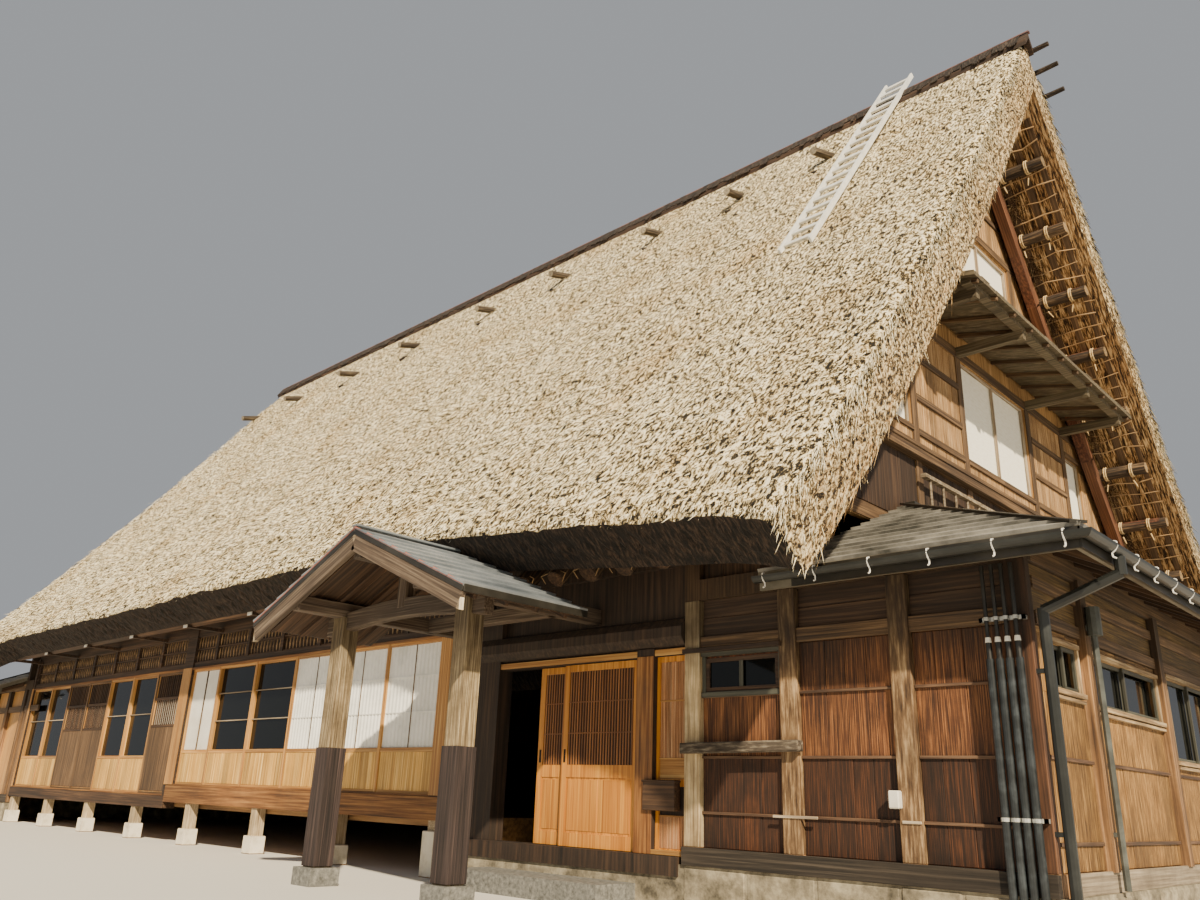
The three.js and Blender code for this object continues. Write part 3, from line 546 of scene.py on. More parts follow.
# %% Spikes as one mesh
def spikes(name, feet, ways, lengths, widths, tones, rear, finish=washed_straw):
    """Closed three-sided spikes. feet and ways are x, v and height over the mean slope."""
    ways = ways / np.linalg.norm(ways, axis=1, keepdims=True)
    side = np.cross(ways, (0.15, 0.1, 1.0))
    side /= np.linalg.norm(side, axis=1, keepdims=True)
    half = widths[:, None] / 2
    rise = np.cross(side, ways) * half * 1.3
    corners = [feet + side * half, feet - side * half, feet + rise, feet + ways * lengths[:, None]]
    base = np.arange(len(feet))[:, None] * 4
    faces = np.concatenate([base + np.array(f) for f in ((0, 1, 2), (1, 0, 3), (2, 1, 3), (0, 2, 3))])
    flat = np.stack(corners, axis=1).reshape(-1, 3)
    mesh = straw_mesh(name, flat, faces.tolist(), np.repeat(tones, 4), rear)
    return place_piece(name, mesh, [finish])


def bundle_ends(name, rear, count, seed):
    draw = np.random.default_rng(seed)
    across, reach = draw.uniform(-1, 1, count), np.sqrt(draw.uniform(0.004, 1, count)) * 0.997
    x, v, w = slope_place(across, reach, 0.0)
    x, w = rounded(x, v, w + straw_lift(x, v, seed - 1) - 0.01)
    ways = np.stack([draw.normal(0, 0.3, count), np.ones(count), draw.uniform(0.15, 0.7, count)], -1)
    lengths, widths = draw.uniform(0.05, 0.13, count), draw.uniform(0.008, 0.02, count)
    spikes(name, np.stack([x, v, w], -1), ways, lengths, widths, draw.normal(0.02, 0.13, count), rear)


def edge_stalks(name, rear, count, seed):
    """Stalks that hang out of the eave's cut and of both verges."""
    draw = np.random.default_rng(seed)
    at_eave = draw.uniform(0, 1, count) < 0.4
    across = np.where(at_eave, draw.uniform(-1, 1, count), draw.choice([-1.0, 1.0], count))
    reach = np.where(at_eave, 1.0, draw.uniform(0.05, 1, count))
    share = draw.uniform(0, 1, count) ** 1.6
    x, v, w = slope_place(across, reach, share)
    sideways = np.where(at_eave, draw.normal(0, 0.25, count), across * draw.uniform(0.02, 0.45, count))
    ways = np.stack([sideways, np.ones(count), draw.normal(-0.05, 0.25, count)], -1)
    feet = np.stack([x - 0.03 * np.where(at_eave, 0, across), v - 0.03 * at_eave, w], -1)
    lengths = np.where(at_eave, draw.uniform(0.02, 0.06, count), draw.uniform(0.06, 0.2, count))
    # Stalks deeper in the cut are drawn darker, most at the eave: painted shade of the cut.
    tones = draw.normal(0.03, 0.1, count) - np.where(at_eave, 0.02 + 1.2 * share, 0.05 * share)
    spikes(name, feet, ways, lengths, draw.uniform(0.006, 0.013, count), tones, rear)


# %% Scatter them
bundle_ends("bundle_ends_front", False, 45000, 22)
bundle_ends("bundle_ends_rear", True, 30000, 42)
edge_stalks("edge_stalks_front", False, 15000, 61)
edge_stalks("edge_stalks_rear", True, 12000, 62)

# %% [markdown]
# ## Ridge
# Straw can't shed rain at the top, so the ridge wears a cap of cedar bark, held down by a folded metal
# strip. The bark comes in strips of a hand's width that are never cut to one length, which gives the dark
# ragged band under the skyline. The strips lie on the frame's cap, one row to a side. The strip over them
# is one folded sheet with a rusty edge. At both ends the poles that hold the bark stick out of the gable.


# %% Bark, metal and poles of the ridge
def off_cap(side):
    """The way that one face of the ridge cap looks."""
    return (0, side * 0.81, 0.59)


def ridge_strips():
    half, crown, edge = 0.14, 0.105, 0.09
    fall = (crown - edge + half * rises[0]) / half
    strips, x = [], cap_low.x
    while x < cap_high.x - 0.12:
        wide = dice.uniform(0.05, 0.13)
        for side in (-1, 1):
            reach, lift = half + dice.uniform(-0.03, 0.03), ridge_z + crown + dice.uniform(0.004, 0.014)
            top = (x + wide / 2, ridge_y + side * 0.01, lift)
            tip = (x + wide / 2 + dice.normal(0, 0.02), ridge_y + side * reach, lift - reach * fall)
            strips.append(beam(top, tip, wide + 0.01, 0.016, off_cap(side)))
            if dice.random() < 0.45:
                crumb = (tip[0], tip[1] + side * 0.02, tip[2] - 0.035)
                strips.append(beam(tip, crumb, wide * 0.7, 0.02, off_cap(side)))
        x += wide
    return strips


bark = wood("cedar_bark", "#0E0B09 #28201A #5E5045 #14100D", 14, 120, 0.95, worn=0.5)
rusty, tree, shader = surface("rust_red_painted_steel", 0.55)
flakes = noise(tree, 5.0, 8.0, 0.7)
paint(tree, shader, ramp(tree, flakes, (0.35, "#4A2F28"), (0.5, "#7A5248"), (0.68, "#9A7468")))
make("ridge_bark", ridge_strips(), bark)
for side, hand in ((-1, "front"), (1, "rear")):
    ends = [(x, ridge_y + side * 0.022, ridge_z + 0.106) for x in (cap_low.x - 0.02, cap_high.x + 0.02)]
    make(f"ridge_strip_{hand}", [beam(*ends, 0.04, 0.006, off_cap(side))], rusty, bevel=0)
ridge_ends = [
    pole((sign * 9.9, ridge_y + shift, level), (sign * tip, ridge_y + shift, level + 0.01), 0.038, 0.033)
    for sign in (-1, 1)
    for shift, level, tip in ((0.16, 10.84, 10.24), (0.36, 10.62, 10.27), (0.6, 10.36, 10.24))
]
make("ridge_pole_ends", ridge_ends, bark)

# %% [markdown]
# ## Ridge pegs
# A row of logs pierces the straw below the ridge on both sides. They carry the ropes when the roof is
# mended. Rain has turned them grey, and their sawn ends are paler. A second thinner stick crosses under
# each.

# %% Pegs
pegs, props, peg_ends = [], [], []
for x in (7.35, 5.74, 4.07, 1.85, -0.24, -2.73, -5.12, -7.44, -9.58):
    skew = dice.normal(0, 0.03)
    pegs.append(pole((x, 4.4, 9.93), (x + skew, 3.72, 9.72), 0.066, 0.06, 10))
    props.append(pole((x + 0.08, 4.25, 9.74), (x - 0.1 + skew, 3.84, 9.44), 0.045, 0.03, 8))
    peg_ends.append(pole((x + skew, 3.722, 9.7207), (x + skew, 3.716, 9.7188), 0.057, 0.056, 10))
old_log = wood("old_grey_log", "#1E1812 #41372B #7A6D59", 20, 400, 0.85, worn=0.7)
make("ridge_pegs_front", pegs, old_log, bevel=0.006)
make("ridge_pegs_rear", flipped(pegs, 1, ridge_y), old_log, bevel=0.006)
make("ridge_peg_props", both_sides(props), bark, bevel=0)
peg_cut = wood("sawn_peg_end", "#6A604F #978C77 #BDB39E", 20, 60, 0.9, worn=0.3)
make("ridge_peg_ends", both_sides(peg_ends), peg_cut, bevel=0)

# %% [markdown]
# ## Gable walls
# Each gable closes a loft with upright boards between posts, and lights it with windows of white paper. The
# frame has the wall, posts and openings. Boards are laid over it one by one, since their joints and their
# different tones are what makes a board wall. A board that would run into the straw is cut off under it.


# %% Boards that stop under the straw
def under_straw(y, below=0.0):
    """Height of a line under the straw at some depth of the house, measured square to the slope."""
    front = min(y, depth - y)
    k = max(1, next((n for n in range(1, 6) if slope[n, 0] <= front), 5))
    rise = (under[k - 1, 1] - under[k, 1]) / (under[k - 1, 0] - under[k, 0])
    return under[k, 1] + (front - under[k, 0]) * rise - below * math.hypot(1, rise)


def gable_boards(rows):
    """Upright boards over a gable wall, and mirrored. A row: y0, y1, z0, z1 and a board's width."""
    laid = []
    for y0, y1, z0, z1, *wide in rows:
        count = max(1, round((y1 - y0) / (wide or [0.2])[0]))
        step = (y1 - y0) / count
        for k in range(count):
            a, b = y0 + k * step + 0.003, y0 + (k + 1) * step - 0.003
            top = min(z1, under_straw(a, 0.07), under_straw(b, 0.07))
            if top > z0 + 0.06:
                face = gable_x - 0.0195
                laid.append(block(face, face + 0.014 + dice.uniform(0, 0.004), a, b, z0, top))
    return both_sides(laid)


foot, head = 3.58, 4.295
shaded_runs = ((0.75, 2.54), (2.66, 3.81), (3.93, ridge_y))
# The lowest gable row, under the ledge, is laid in the dark cedar: painted shade.
shaded_boards = gable_boards([(*run, foot, head) for run in shaded_runs])
foot, head = 4.465, 5.965
lower_boards = gable_boards([
    (2.66, 3.81, foot, head, 0.165), (3.93, ridge_y, foot, 4.66, 0.12), (1.2, 1.93, foot, 5.6, 0.18),
    (1.96, 2.54, foot, 4.66, 0.12), (1.96, 2.54, 5.74, head)])
foot, head = 6.34, 7.115
upper_boards = gable_boards([
    (2.5, 3.83, foot, head), (3.83, ridge_y, foot, head), (2.9, 3.83, 7.245, 8.085),
    (3.6, ridge_y - 0.06, 8.205, 9.9, 0.17)])
rail_rows = [(2.66, 3.81, z, z + 0.075) for z in (4.62, 5.03, 5.53)] + [(3.93, ridge_y, 4.625, 4.695)]
rail_rows += [(1.95, 2.54, z, z + 0.06) for z in (4.635, 5.705)]
rail_rows += [(3.9, ridge_y - 0.06, 8.62, 8.69), (4.3, ridge_y - 0.06, 9.17, 9.24)]
rails = both_sides([block(gable_x - 0.019, gable_x + 0.02, *row) for row in rail_rows])
post_rows = [(y - 0.066, y + 0.066, 3.565, 5.965) for y in (2.6, 3.87)] + [(3.83, 3.95, 7.245, 8.085)]
rails += both_sides([block(gable_x - 0.001, gable_x + 0.012, *row) for row in post_rows])
for y, z0, z1 in ((1.9, 5.968, 6.092), (2.5, 7.118, 7.242), (3.2, 8.088, 8.202)):
    rails.append(block(gable_x - 0.001, gable_x + 0.014, y, depth - y, z0, z1))
rails.append(block(gable_x - 0.001, gable_x + 0.014, ridge_y - 0.06, ridge_y + 0.06, 8.205, 9.3))
rails.append(block(gable_x - 0.001, gable_x + 0.014, 0.6, depth - 0.6, 3.41, 3.56))
make_ends(
    ("gable_boards_shaded", shaded_boards, shadow_cedar, "tan_boards"),
    ("gable_boards_lower", lower_boards, gable_cedar, "tan_boards"),
    ("gable_boards_upper", upper_boards, gable_cedar, "tan_boards"),
    ("gable_rails", rails, brown_post, "grey_wood"),
)

# %% [markdown]
# ## Paper windows
# The windows are sliding frames with white paper on the inner side. From below only a thin frame and one
# meeting stile show. Paper lets light through and scatters it, so it has no gloss, a trace of fibre and a
# slightly warm white.


# %% Paper and its frames
paper, tree, shader = surface("window_paper", 0.9)
fibres = noise(tree, 60.0, 4.0)
paint(tree, shader, ramp(tree, fibres, (0.3, "#F1EDDC"), (0.5, "#F8F5E6"), (0.7, "#FCFAEF")))


def paper_frame(y0, y1, z0, z1, stiles=1):
    """A thin window frame in a gable opening, with its meeting stiles, just outside the paper."""
    x, edge = gable_x - 0.055, 0.03
    bars = [block(x, x + edge, y0, y1, z, z + edge) for z in (z0, z1 - edge)]
    for k in range(stiles + 2):
        y = y0 + (y1 - y0 - edge) * k / (stiles + 1)
        bars.append(block(x + 0.002, x + 0.032, y, y + edge, z0 + edge, z1 - edge))
    return bars


frames = paper_frame(3.955, 5.925, 4.705, 5.965)
frames += paper_frame(1.965, 2.515, 4.705, 5.695, 0) + paper_frame(7.365, 7.915, 4.705, 5.695, 0)
frames += paper_frame(4.005, 5.875, 7.305, 8.045)
make_ends(("paper_window_frames", frames, grey_cedar, "grey_wood"))

# %% [markdown]
# ## Pent roof of boards
# A narrow roof of lapped boards keeps rain off the lower windows. The frame has its slab, brackets and
# bearer. Boards with a lap are laid on top, and thin rafters show below, one to each half metre.

# %% Pent roof boards and rafters
pent_fall, pent_top, pent_reach = 0.21 / 0.9, 6.36, 0.9
pent_boards, pent_rafters = [], []
for k in range(26):
    y, z = 2.34 + k * 0.2 + 0.1, pent_top + 0.009 + 0.012 * (k % 2)
    outer = (gable_x + pent_reach - dice.uniform(0.0, 0.02), y, z - pent_reach * pent_fall)
    pent_boards.append(beam((gable_x + 0.004, y, z), outer, 0.21, 0.014))
for k in range(11):
    y, z = 2.45 + k * 0.498, pent_top - 0.07
    outer = (gable_x + 0.885, y, z - 0.875 * pent_fall)
    pent_rafters.append(beam((gable_x + 0.01, y, z), outer, 0.045, 0.045))
mossy = wood("mossy_roof_board", "#433B2D #6A5F4B #8E826A #45452F", 22, 600, 0.9, worn=0.5)
make_ends(("pent_roof_boards", pent_boards, mossy, "grey_wood"),
          ("pent_roof_rafters", pent_rafters, brown_post, "grey_wood"))

# %% [markdown]
# ## Stone, metal, glass and paint
# The rest of the house is a short list of stuff. The walls under the timber are field stone and trowelled
# mortar: matt, patchy, grey-beige. Roof sheets and gutters are painted steel: smooth, slightly soft gloss,
# with chalky weather marks. Window glass mirrors the yard and is dark because the rooms behind it are dark.
# White plaster-like paint closes a few panels. Each starts from the real stuff's usual gloss.


# %% Recipes for stone, painted steel, glass and plastic
def mottled(name, colours, size_mm, roughness, depth_mm=0, **values):
    """A surface whose colour wanders over patches of a given size, with relief of a given depth."""
    material, tree, shader = surface(name, roughness, **values)
    place = add(tree, "TexCoord", out="Object")
    cloud = noise(tree, 1000 / size_mm, 8.0, 0.65, Vector=place)
    paint(tree, shader, ramp(tree, cloud, *zip((0.32, 0.5, 0.68), colours.split())), cloud, depth_mm, 0.9)
    return material


field_stone = mottled("rough_field_stone", "#474237 #857C69 #B0A78F", 160, 0.9, 12)
mortar = mottled("trowelled_lime_mortar", "#8B8371 #B5AB95 #CFC6B0", 300, 0.92, 5)
granite = mottled("dressed_grey_granite", "#4B4B47 #6F6F6B #8D8C86", 40, 0.8, 2)
pale_pier = mottled("lime_washed_pier", "#BDB39C #E4DCC8 #EFE9D9", 220, 0.9, 4)
roof_steel = mottled("weathered_brown_roof_steel", "#4F4A41 #6E695C #8B8678", 700, 0.5, Metallic=0.35)
dark_steel = mottled("dark_painted_steel", "#191816 #26241F #38352F", 500, 0.42)
gutter_steel = mottled("dark_painted_gutter_steel", "#161918 #202322 #303332", 400, 0.4)
white_enamel = mottled("white_enamelled_steel", "#C9C8C0 #E8E8E4 #F4F4F0", 90, 0.35)
porch_steel = mottled("blue_grey_roof_steel", "#6A7279 #868D93 #9FA4A8", 500, 0.42, Metallic=0.3)
coral_steel = mottled("faded_coral_painted_steel", "#8F5546 #B56A57 #CC8A78", 250, 0.5)
aluminium = mottled("drawn_aluminium", "#D6D8D6 #E9EAE7 #F6F6F2", 120, 0.45)
white_plastic = mottled("sun_aged_white_plastic", "#D5D2C4 #E9E6DA #F2F0E6", 200, 0.45)
grey_plastic = mottled("grey_plastic_conduit", "#3A3D3A #4B4F4B #60645F", 150, 0.45)
foam_sleeve = mottled("grey_foam_sleeve", "#14181A #24292C #3C4348", 120, 0.36, 1)
white_panel = mottled("white_painted_panel", "#DAD6CA #ECE9DF #F5F3EC", 500, 0.7)
glass_values = {"IOR": 1.5, "Base_Color": linear("#0D0F0F"), "Specular_IOR_Level": 0.3}
dark_glass = surface("window_glass_over_dark_rooms", 0.05, **glass_values)[0]
print("all finishes so far:", len(bpy.data.materials))

# %% [markdown]
# ## Finish the frame's own solids
# A frame node keeps its shape and gets a better finish. The beginning of its name is paired with one here.
# Timber nodes take the recipe whose streaks run along most of their parts, posts upright, beams level.

# %% Node finishes
lit_colours = "#3A2B1C #857054 #C8AF88 #2A1F16"
porch_cedar = wood("lit_porch_cedar", lit_colours, 30, 600, axis="z", worn=0.9, painted_eave_shade=0.6)
rafter_red = wood("red_brown_rafter_cedar", "#331A10 #5A3422 #805237", 30, axis="z", worn=0.4)
gable_wall = wood("gable_wall_cedar", "#7A5936 #A5804F #C79F6C #5F4730", 34, axis="z", worn=0.5)
honey_frame = wood("oiled_honey_cypress_frame", "#A76F36 #C79451 #E0B676", 24, 1400, 0.5, "z", worn=0.2)
plain_red = wood("red_brown_cedar_wall", "#3B1A0F #6B3820 #A4623B", 20, 1500, axis="z", worn=0.7)
plain_tan = wood("tan_cedar_wall", "#7C5A37 #AE8656 #D3AE7C", 24, 1300, axis="z", worn=0.45)
end_frame = wood("orange_tan_frame", "#4A3220 #8A6642 #C0966A", 26, 900, axis="z", worn=0.6, painted_eave_shade=0.85)
floor_cedar = wood("worn_floor_cedar", "#6E5233 #9C774C #B9935F", 40, axis="x", worn=0.3)
dark_frame = wood("smoke_darkened_frame", "#1E1510 #3B2A1E #5C4532", 34, axis="x", worn=0.5)
# Near black for the entrance frame under the eave: painted shade.
dark_upright = wood("upright_cedar_painted_shade", "#120D0A #2B1F17 #453325", 34, axis="z", worn=0.5)
old_board = wood("mossy_roof_board_level", "#3A3226 #5E5340 #82765F #45452F", 30, axis="x", worn=0.5)
door_solid = wood("orange_oiled_cypress_door", "#985C1C #BC7C2C #D69A40", 26, 1500, 0.42, "z", worn=0.08)
finish_of = {
    "foundation": field_stone, "entrance_step": granite, "porch_footing": granite, "entrance_floor": mortar,
    "raised_floor": floor_cedar, "front_underframe": sill_cedar, "window_wall_frame": dark_frame,
    "front_window": dark_frame, "ridge_cap": dark_frame, "window_sashes": honey_frame,
    "front_boards_left": honey_frame, "front_boards_right": plain_red, "window_panes": dark_glass,
    "end_panes": dark_glass, "rear_panes": dark_glass, "entrance_frame": dark_upright,
    "side_lattice": door_solid, "door_leaf": door_solid, "wall_frame": end_frame, "end_boards": plain_tan,
    "rear_boards": plain_tan, "rear_frame": grey_upright, "gable_wall": gable_wall, "gable_paper": paper,
    "pent_roof": old_board, "raking_rafters": rafter_red, "lean_to_roof": roof_steel,
    "gutter": gutter_steel, "downpipe": gutter_steel, "wall_pipes": foam_sleeve,
    "wall_conduit": grey_plastic, "porch_frame": porch_cedar, "porch_roof": porch_steel,
    "porch_bargeboards": grey_level, "lean_to_ladder": grey_level, "roof_ladder": aluminium,
}
finished = 0
for name in nodes:
    for start, finish in finish_of.items():
        if name.startswith(start):
            finished += 1
            for slot in nodes[name].material_slots:
                slot.material = finish
print("nodes finished:", finished, "of", len(nodes))

# %% [markdown]
# ## Treads of the roof ladder
# An aluminium ladder lies on the straw for the thatchers. Its rungs are flat on top, wider than they are
# deep. The frame has them as thin bars, so each gets its flat tread here, on the same line from foot to
# ridge.

# %% Ladder treads
rungs, rail_half = 18, 0.035
ladder_low, ladder_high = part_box("roof_ladder")
run_y, rise_z = ladder_high[1] - ladder_low[1], ladder_high[2] - ladder_low[2]
slant = math.atan2(rise_z, run_y)
off_y, off_z = rail_half * math.sin(slant), rail_half * math.cos(slant)
tread_x = (ladder_low[0] + 0.02, ladder_high[0] - 0.02)
treads = []
for k in range(rungs):
    share = (k + 0.5) / rungs
    y = ladder_low[1] - front_y + off_y + share * (run_y - 2 * off_y)
    z = ladder_low[2] + off_z + share * (rise_z - 2 * off_z)
    treads.append(block(*tread_x, y - 0.024, y + 0.024, z - 0.017, z + 0.017))
print("tread spacing", round(1000 * math.hypot(run_y, rise_z) / rungs), "mm")
make("ladder_treads", treads, aluminium, bevel=0.003)

# %% [markdown]
# ## Walls in panels
# The walls are the same all round: posts a bay apart, upright boards between them and thin battens nailed
# across. To lay boards on any of the four walls with one set of numbers, a wall is described by a distance
# along it, a height, and a distance outwards from its line. One small function turns that into the house.


# %% Placing on a wall
board_back, post_half = -0.042, 0.078


def on_wall(wall, *rows):
    """Timbers on one of the four walls. A row: from and to along it, up it, and outwards from its line."""
    placed = []
    for a0, a1, z0, z1, d0, d1 in rows:
        placed.append({
            "front": (a0, a1, -d1, -d0),
            "rear": (a0, a1, depth + d0, depth + d1),
            "right": (half_length + d0, half_length + d1, a0, a1),
            "left": (-half_length - d1, -half_length - d0, a0, a1),
        }[wall] + (z0, z1))
    return blocks(*placed)


def boards(wall, a0, a1, z0, z1, wide=0.22, face=board_back):
    """Upright boards from a0 to a1, each a little thicker or thinner than the next."""
    count = max(1, round((a1 - a0) / wide))
    edges = np.linspace(a0, a1, count + 1)
    edges[1:-1] += dice.uniform(-0.15, 0.15, count - 1) * wide
    pairs = zip(edges[:-1], edges[1:])
    return on_wall(wall, *[
        (a + 0.0015, b - 0.0015, z0, z1, face, face + 0.016 + dice.uniform(0, 0.004)) for a, b in pairs])


def battens(wall, a0, a1, levels, face=-0.04, high=0.026):
    return on_wall(wall, *[(a0, a1, z, z + high, face, face + 0.034) for z in levels])


# %% [markdown]
# ## The red-brown board wall
# Right of the entrance three bays are closed with stained cedar. Battens cross it at knee, chest and head
# height. Shade is painted into the boards: they darken under the eave, and those below 1.17 m are a darker
# copy of the cedar, a painted shadow. Above the rail the boards lie level, in the dark cedar of painted
# shade.

# %% Red boards, battens and the small window
bays = ((8.165, 8.96), (9.12, 9.915), (10.075, 10.795))
batten_levels = (0.735, 1.165, 1.65)
red_wall, low_shadow_boards, red_battens, dark_wall = [], [], [], []
for a0, a1 in bays:
    red_wall += boards("front", a0, a1, 1.17, 1.66 if a0 < 9 else 2.045, 0.2)
    # The boards below 1.17 m take the darker copy of the cedar: painted shadow.
    low_shadow_boards += boards("front", a0, a1, 0.485, 1.168, 0.2)
    red_battens += battens("front", a0, a1, batten_levels, high=0.022)
    for z, face in ((2.165, -0.026), (2.325, -0.03)):
        dark_wall += on_wall("front", (a0, a1, z, z + 0.157, board_back, face))
window_trim = on_wall(
    "front",
    (8.165, 8.96, 1.995, 2.048, -0.045, 0.012),
    (8.165, 8.96, 1.655, 1.698, -0.045, 0.004),
    (8.165, 8.2, 1.698, 1.995, -0.045, -0.008),
    (8.93, 8.96, 1.698, 1.995, -0.045, -0.008),
    (8.545, 8.585, 1.735, 1.945, -0.045, -0.012),
)
window_frame = wood("dull_olive_sash_paint", "#33332C #45463D #5A5B50", 30, 900, 0.6, worn=0.2)
make("red_wall_boards", red_wall, red_cedar)
make("low_wall_boards_painted_shadow", low_shadow_boards, low_shadow_red_cedar)
make("red_wall_battens", red_battens, batten_brown)
make("head_boards_front_right", dark_wall, shadow_cedar)
make("small_window_trim", window_trim, window_frame)
hood = on_wall("front", (8.005, 8.99, 2.026, 2.062, -0.04, 0.07))
make("small_window_hood", hood, shadow_cedar)
small_panes = on_wall("front", *[(a, a + 0.31, 1.735, 1.945, -0.0395, -0.0355) for a in (8.235, 8.585)])
make("small_window_panes", small_panes, dark_glass, bevel=0)
high_a = [8.168 + k * 0.208 for k in range(4)]
high_bay = on_wall("front", *[(a, a + 0.204, 2.603, 3.2, -0.052, -0.036) for a in high_a])
make("high_boards_front_right", high_bay, smoked_cedar)
post_looks = ((8.085, cream_post), (9.04, mottled_post), (9.995, mottled_post), (10.873, red_post))
for k, (x, finish) in enumerate(post_looks):
    skins = blocks((x - 0.0785, x + 0.0785, -0.0335, 0.05, 0.483, 2.479))
    make(f"front_post_skin_{k}", skins, finish, bevel=0.005)

# %% [markdown]
# ## The bar between the posts
# A rough squared timber is fixed across two posts about 1.2 m up. It has never been planed and has gone
# grey and patchy. Two short pale laths and a small box are nailed to the posts.

# %% Bar and fittings
rough_bar = wood("rough_unplaned_timber", "#2E2822 #5E5347 #A09581", 30, 160, 0.95, worn=0.6)
bar = [beam((8.01, -0.065, 1.242), (9.16, -0.065, 1.257), 0.084, 0.084)]
make("wall_bar", bar, rough_bar, bevel=0.008)
lath_z, lath_depth = (0.735, 0.755), (0.031, 0.045)
laths = on_wall("front", (8.88, 9.27, *lath_z, *lath_depth), (9.94, 10.08, *lath_z, *lath_depth))
make("post_laths", laths, grey_cedar)
socket_box = on_wall("front", (9.865, 9.945, 0.83, 0.95, 0.026, 0.085))
make("socket_box", socket_box, white_plastic, bevel=0.008)

# %% [markdown]
# ## The lattice doors
# A lattice door has fine upright bars over a board above, a plain rail at hand height and two panels below.
# The frame's leaves have shallow recesses where the lattice goes. The bars stand 34 mm apart in front of a
# darker board, and two thin laths cross them. Each piece rides on its own leaf, so the lattice slides with
# the door.


# %% One leaf's lattice
def lattice(x0, x1, z0, z1, face, spacing, bar_wide, bar_deep, laths=0):
    """Upright bars and thin cross laths in front of a recess whose floor is at y = face."""
    count = round((x1 - x0) / spacing)
    middles = x0 + (np.arange(count) + 0.5) * (x1 - x0) / count
    levels = z0 + (np.arange(laths) + 1) * (z1 - z0) / (laths + 1)
    rows = [(m - bar_wide / 2, m + bar_wide / 2, face - bar_deep, face, z0, z1) for m in middles]
    rows += [(x0, x1, face - bar_deep - 0.002, face - 0.003, z - 0.005, z + 0.005) for z in levels]
    return blocks(*rows)


behind_bars = wood("board_behind_the_bars", "#140A06 #24130B #372012", 30, worn=0.2)
bar_cypress = wood("brown_oiled_cypress_bar", "#6E4420 #8C5A2D #AE7843", 16, 900, 0.5, worn=0.2)
iron = mottled("blackened_iron", "#151413 #242220 #34312E", 30, 0.5, Metallic=0.8)
for body, x0, face in (("door_left", 6.095, 0.085), ("door_right", 6.485, 0.03)):
    left, right, recess = x0 + 0.07, x0 + 0.89, face + 0.0095
    bars = lattice(left, right, 1.111, 1.959, face + 0.0085, 0.034, 0.0135, 0.0075, laths=2)
    backing = blocks((left, right, face + 0.0075, recess, 1.111, 1.959))
    halves = ((left + 0.02, left + 0.4), (left + 0.42, right - 0.02))
    panels = blocks(*[(a, b, face + 0.004, recess, 0.54, 0.98) for a, b in halves])
    pull = blocks((x0 + 0.022, x0 + 0.05, face - 0.0008, face + 0.003, 1.13, 1.25))
    make(f"{body}_bars", bars, bar_cypress, body, bevel=0.001)
    make(f"{body}_backing", backing, behind_bars, body, bevel=0)
    make(f"{body}_panels", panels, door_cypress, body, bevel=0.002)
    make(f"{body}_pull", pull, iron, body, bevel=0.001)

# %% [markdown]
# ## The panel beside the doors
# The narrow fixed panel has reeds instead of bars. Reeds are 8 mm thick, and they are drawn 11 mm thick
# here to show at all. Pale laths cross them, a board closes the middle, and a dark wooden box hangs over
# it. The lintel over the doors and the post beside them get the faces that show in the sun.

# %% Side panel, lintel and jamb
reeds = lattice(7.692, 7.958, 1.165, 1.978, 0.0415, 0.0166, 0.011, 0.008)
reeds += lattice(7.692, 7.958, 0.452, 0.7, 0.0415, 0.0166, 0.011, 0.008)
cross = blocks(*[(7.69, 7.96, 0.028, 0.036, z, z + 0.012) for z in (1.16, 1.64, 0.7)])
cross += blocks((7.69, 7.96, 0.034, 0.0415, 0.985, 1.16))
reed_back = blocks((7.692, 7.958, 0.0405, 0.0418, 0.452, 1.978))
wall_box = blocks((7.57, 7.92, -0.055, 0.029, 0.745, 0.985), (7.56, 7.93, -0.065, 0.029, 0.972, 0.99))
lintel = blocks((5.57, 7.999, -0.012, 0.001, 2.036, 2.09), (7.651, 7.999, -0.03, 0.03, 0.402, 0.44))
jamb = blocks((7.452, 7.649, -0.026, -0.019, 0.401, 2.036))
reed_colour = wood("split_reed", "#8A5A36 #B98457 #DDB48A", 12, 700, 0.6, worn=0.25)
jamb_cedar = wood("orange_brown_jamb", "#4A2A12 #85552A #B98548", 24, 900, 0.55, worn=0.45)
make("side_panel_reeds", reeds, reed_colour, bevel=0.001)
make("side_panel_laths", cross, honey_cypress, bevel=0.001)
make("side_panel_backing", reed_back, behind_bars, bevel=0)
make("hanging_box", wall_box, smoked_cedar, bevel=0.006)
make("entrance_lintel_face", lintel, honey_cypress)
make("entrance_jamb_face", jamb, jamb_cedar)

# %% [markdown]
# ## The window wall
# The long front is a run of sliding windows over low boards. Some pairs are glass, some are shutters of
# bars in front of board, and on the right run some are white sheets. The frame has the sashes with open
# panes and one sheet of glass behind. A sash list says what fills each opening, so that the pattern is easy
# to change.


# %% What fills a sash
pane_head, sash_head, sash_edge = 2.42, 2.478, 0.028


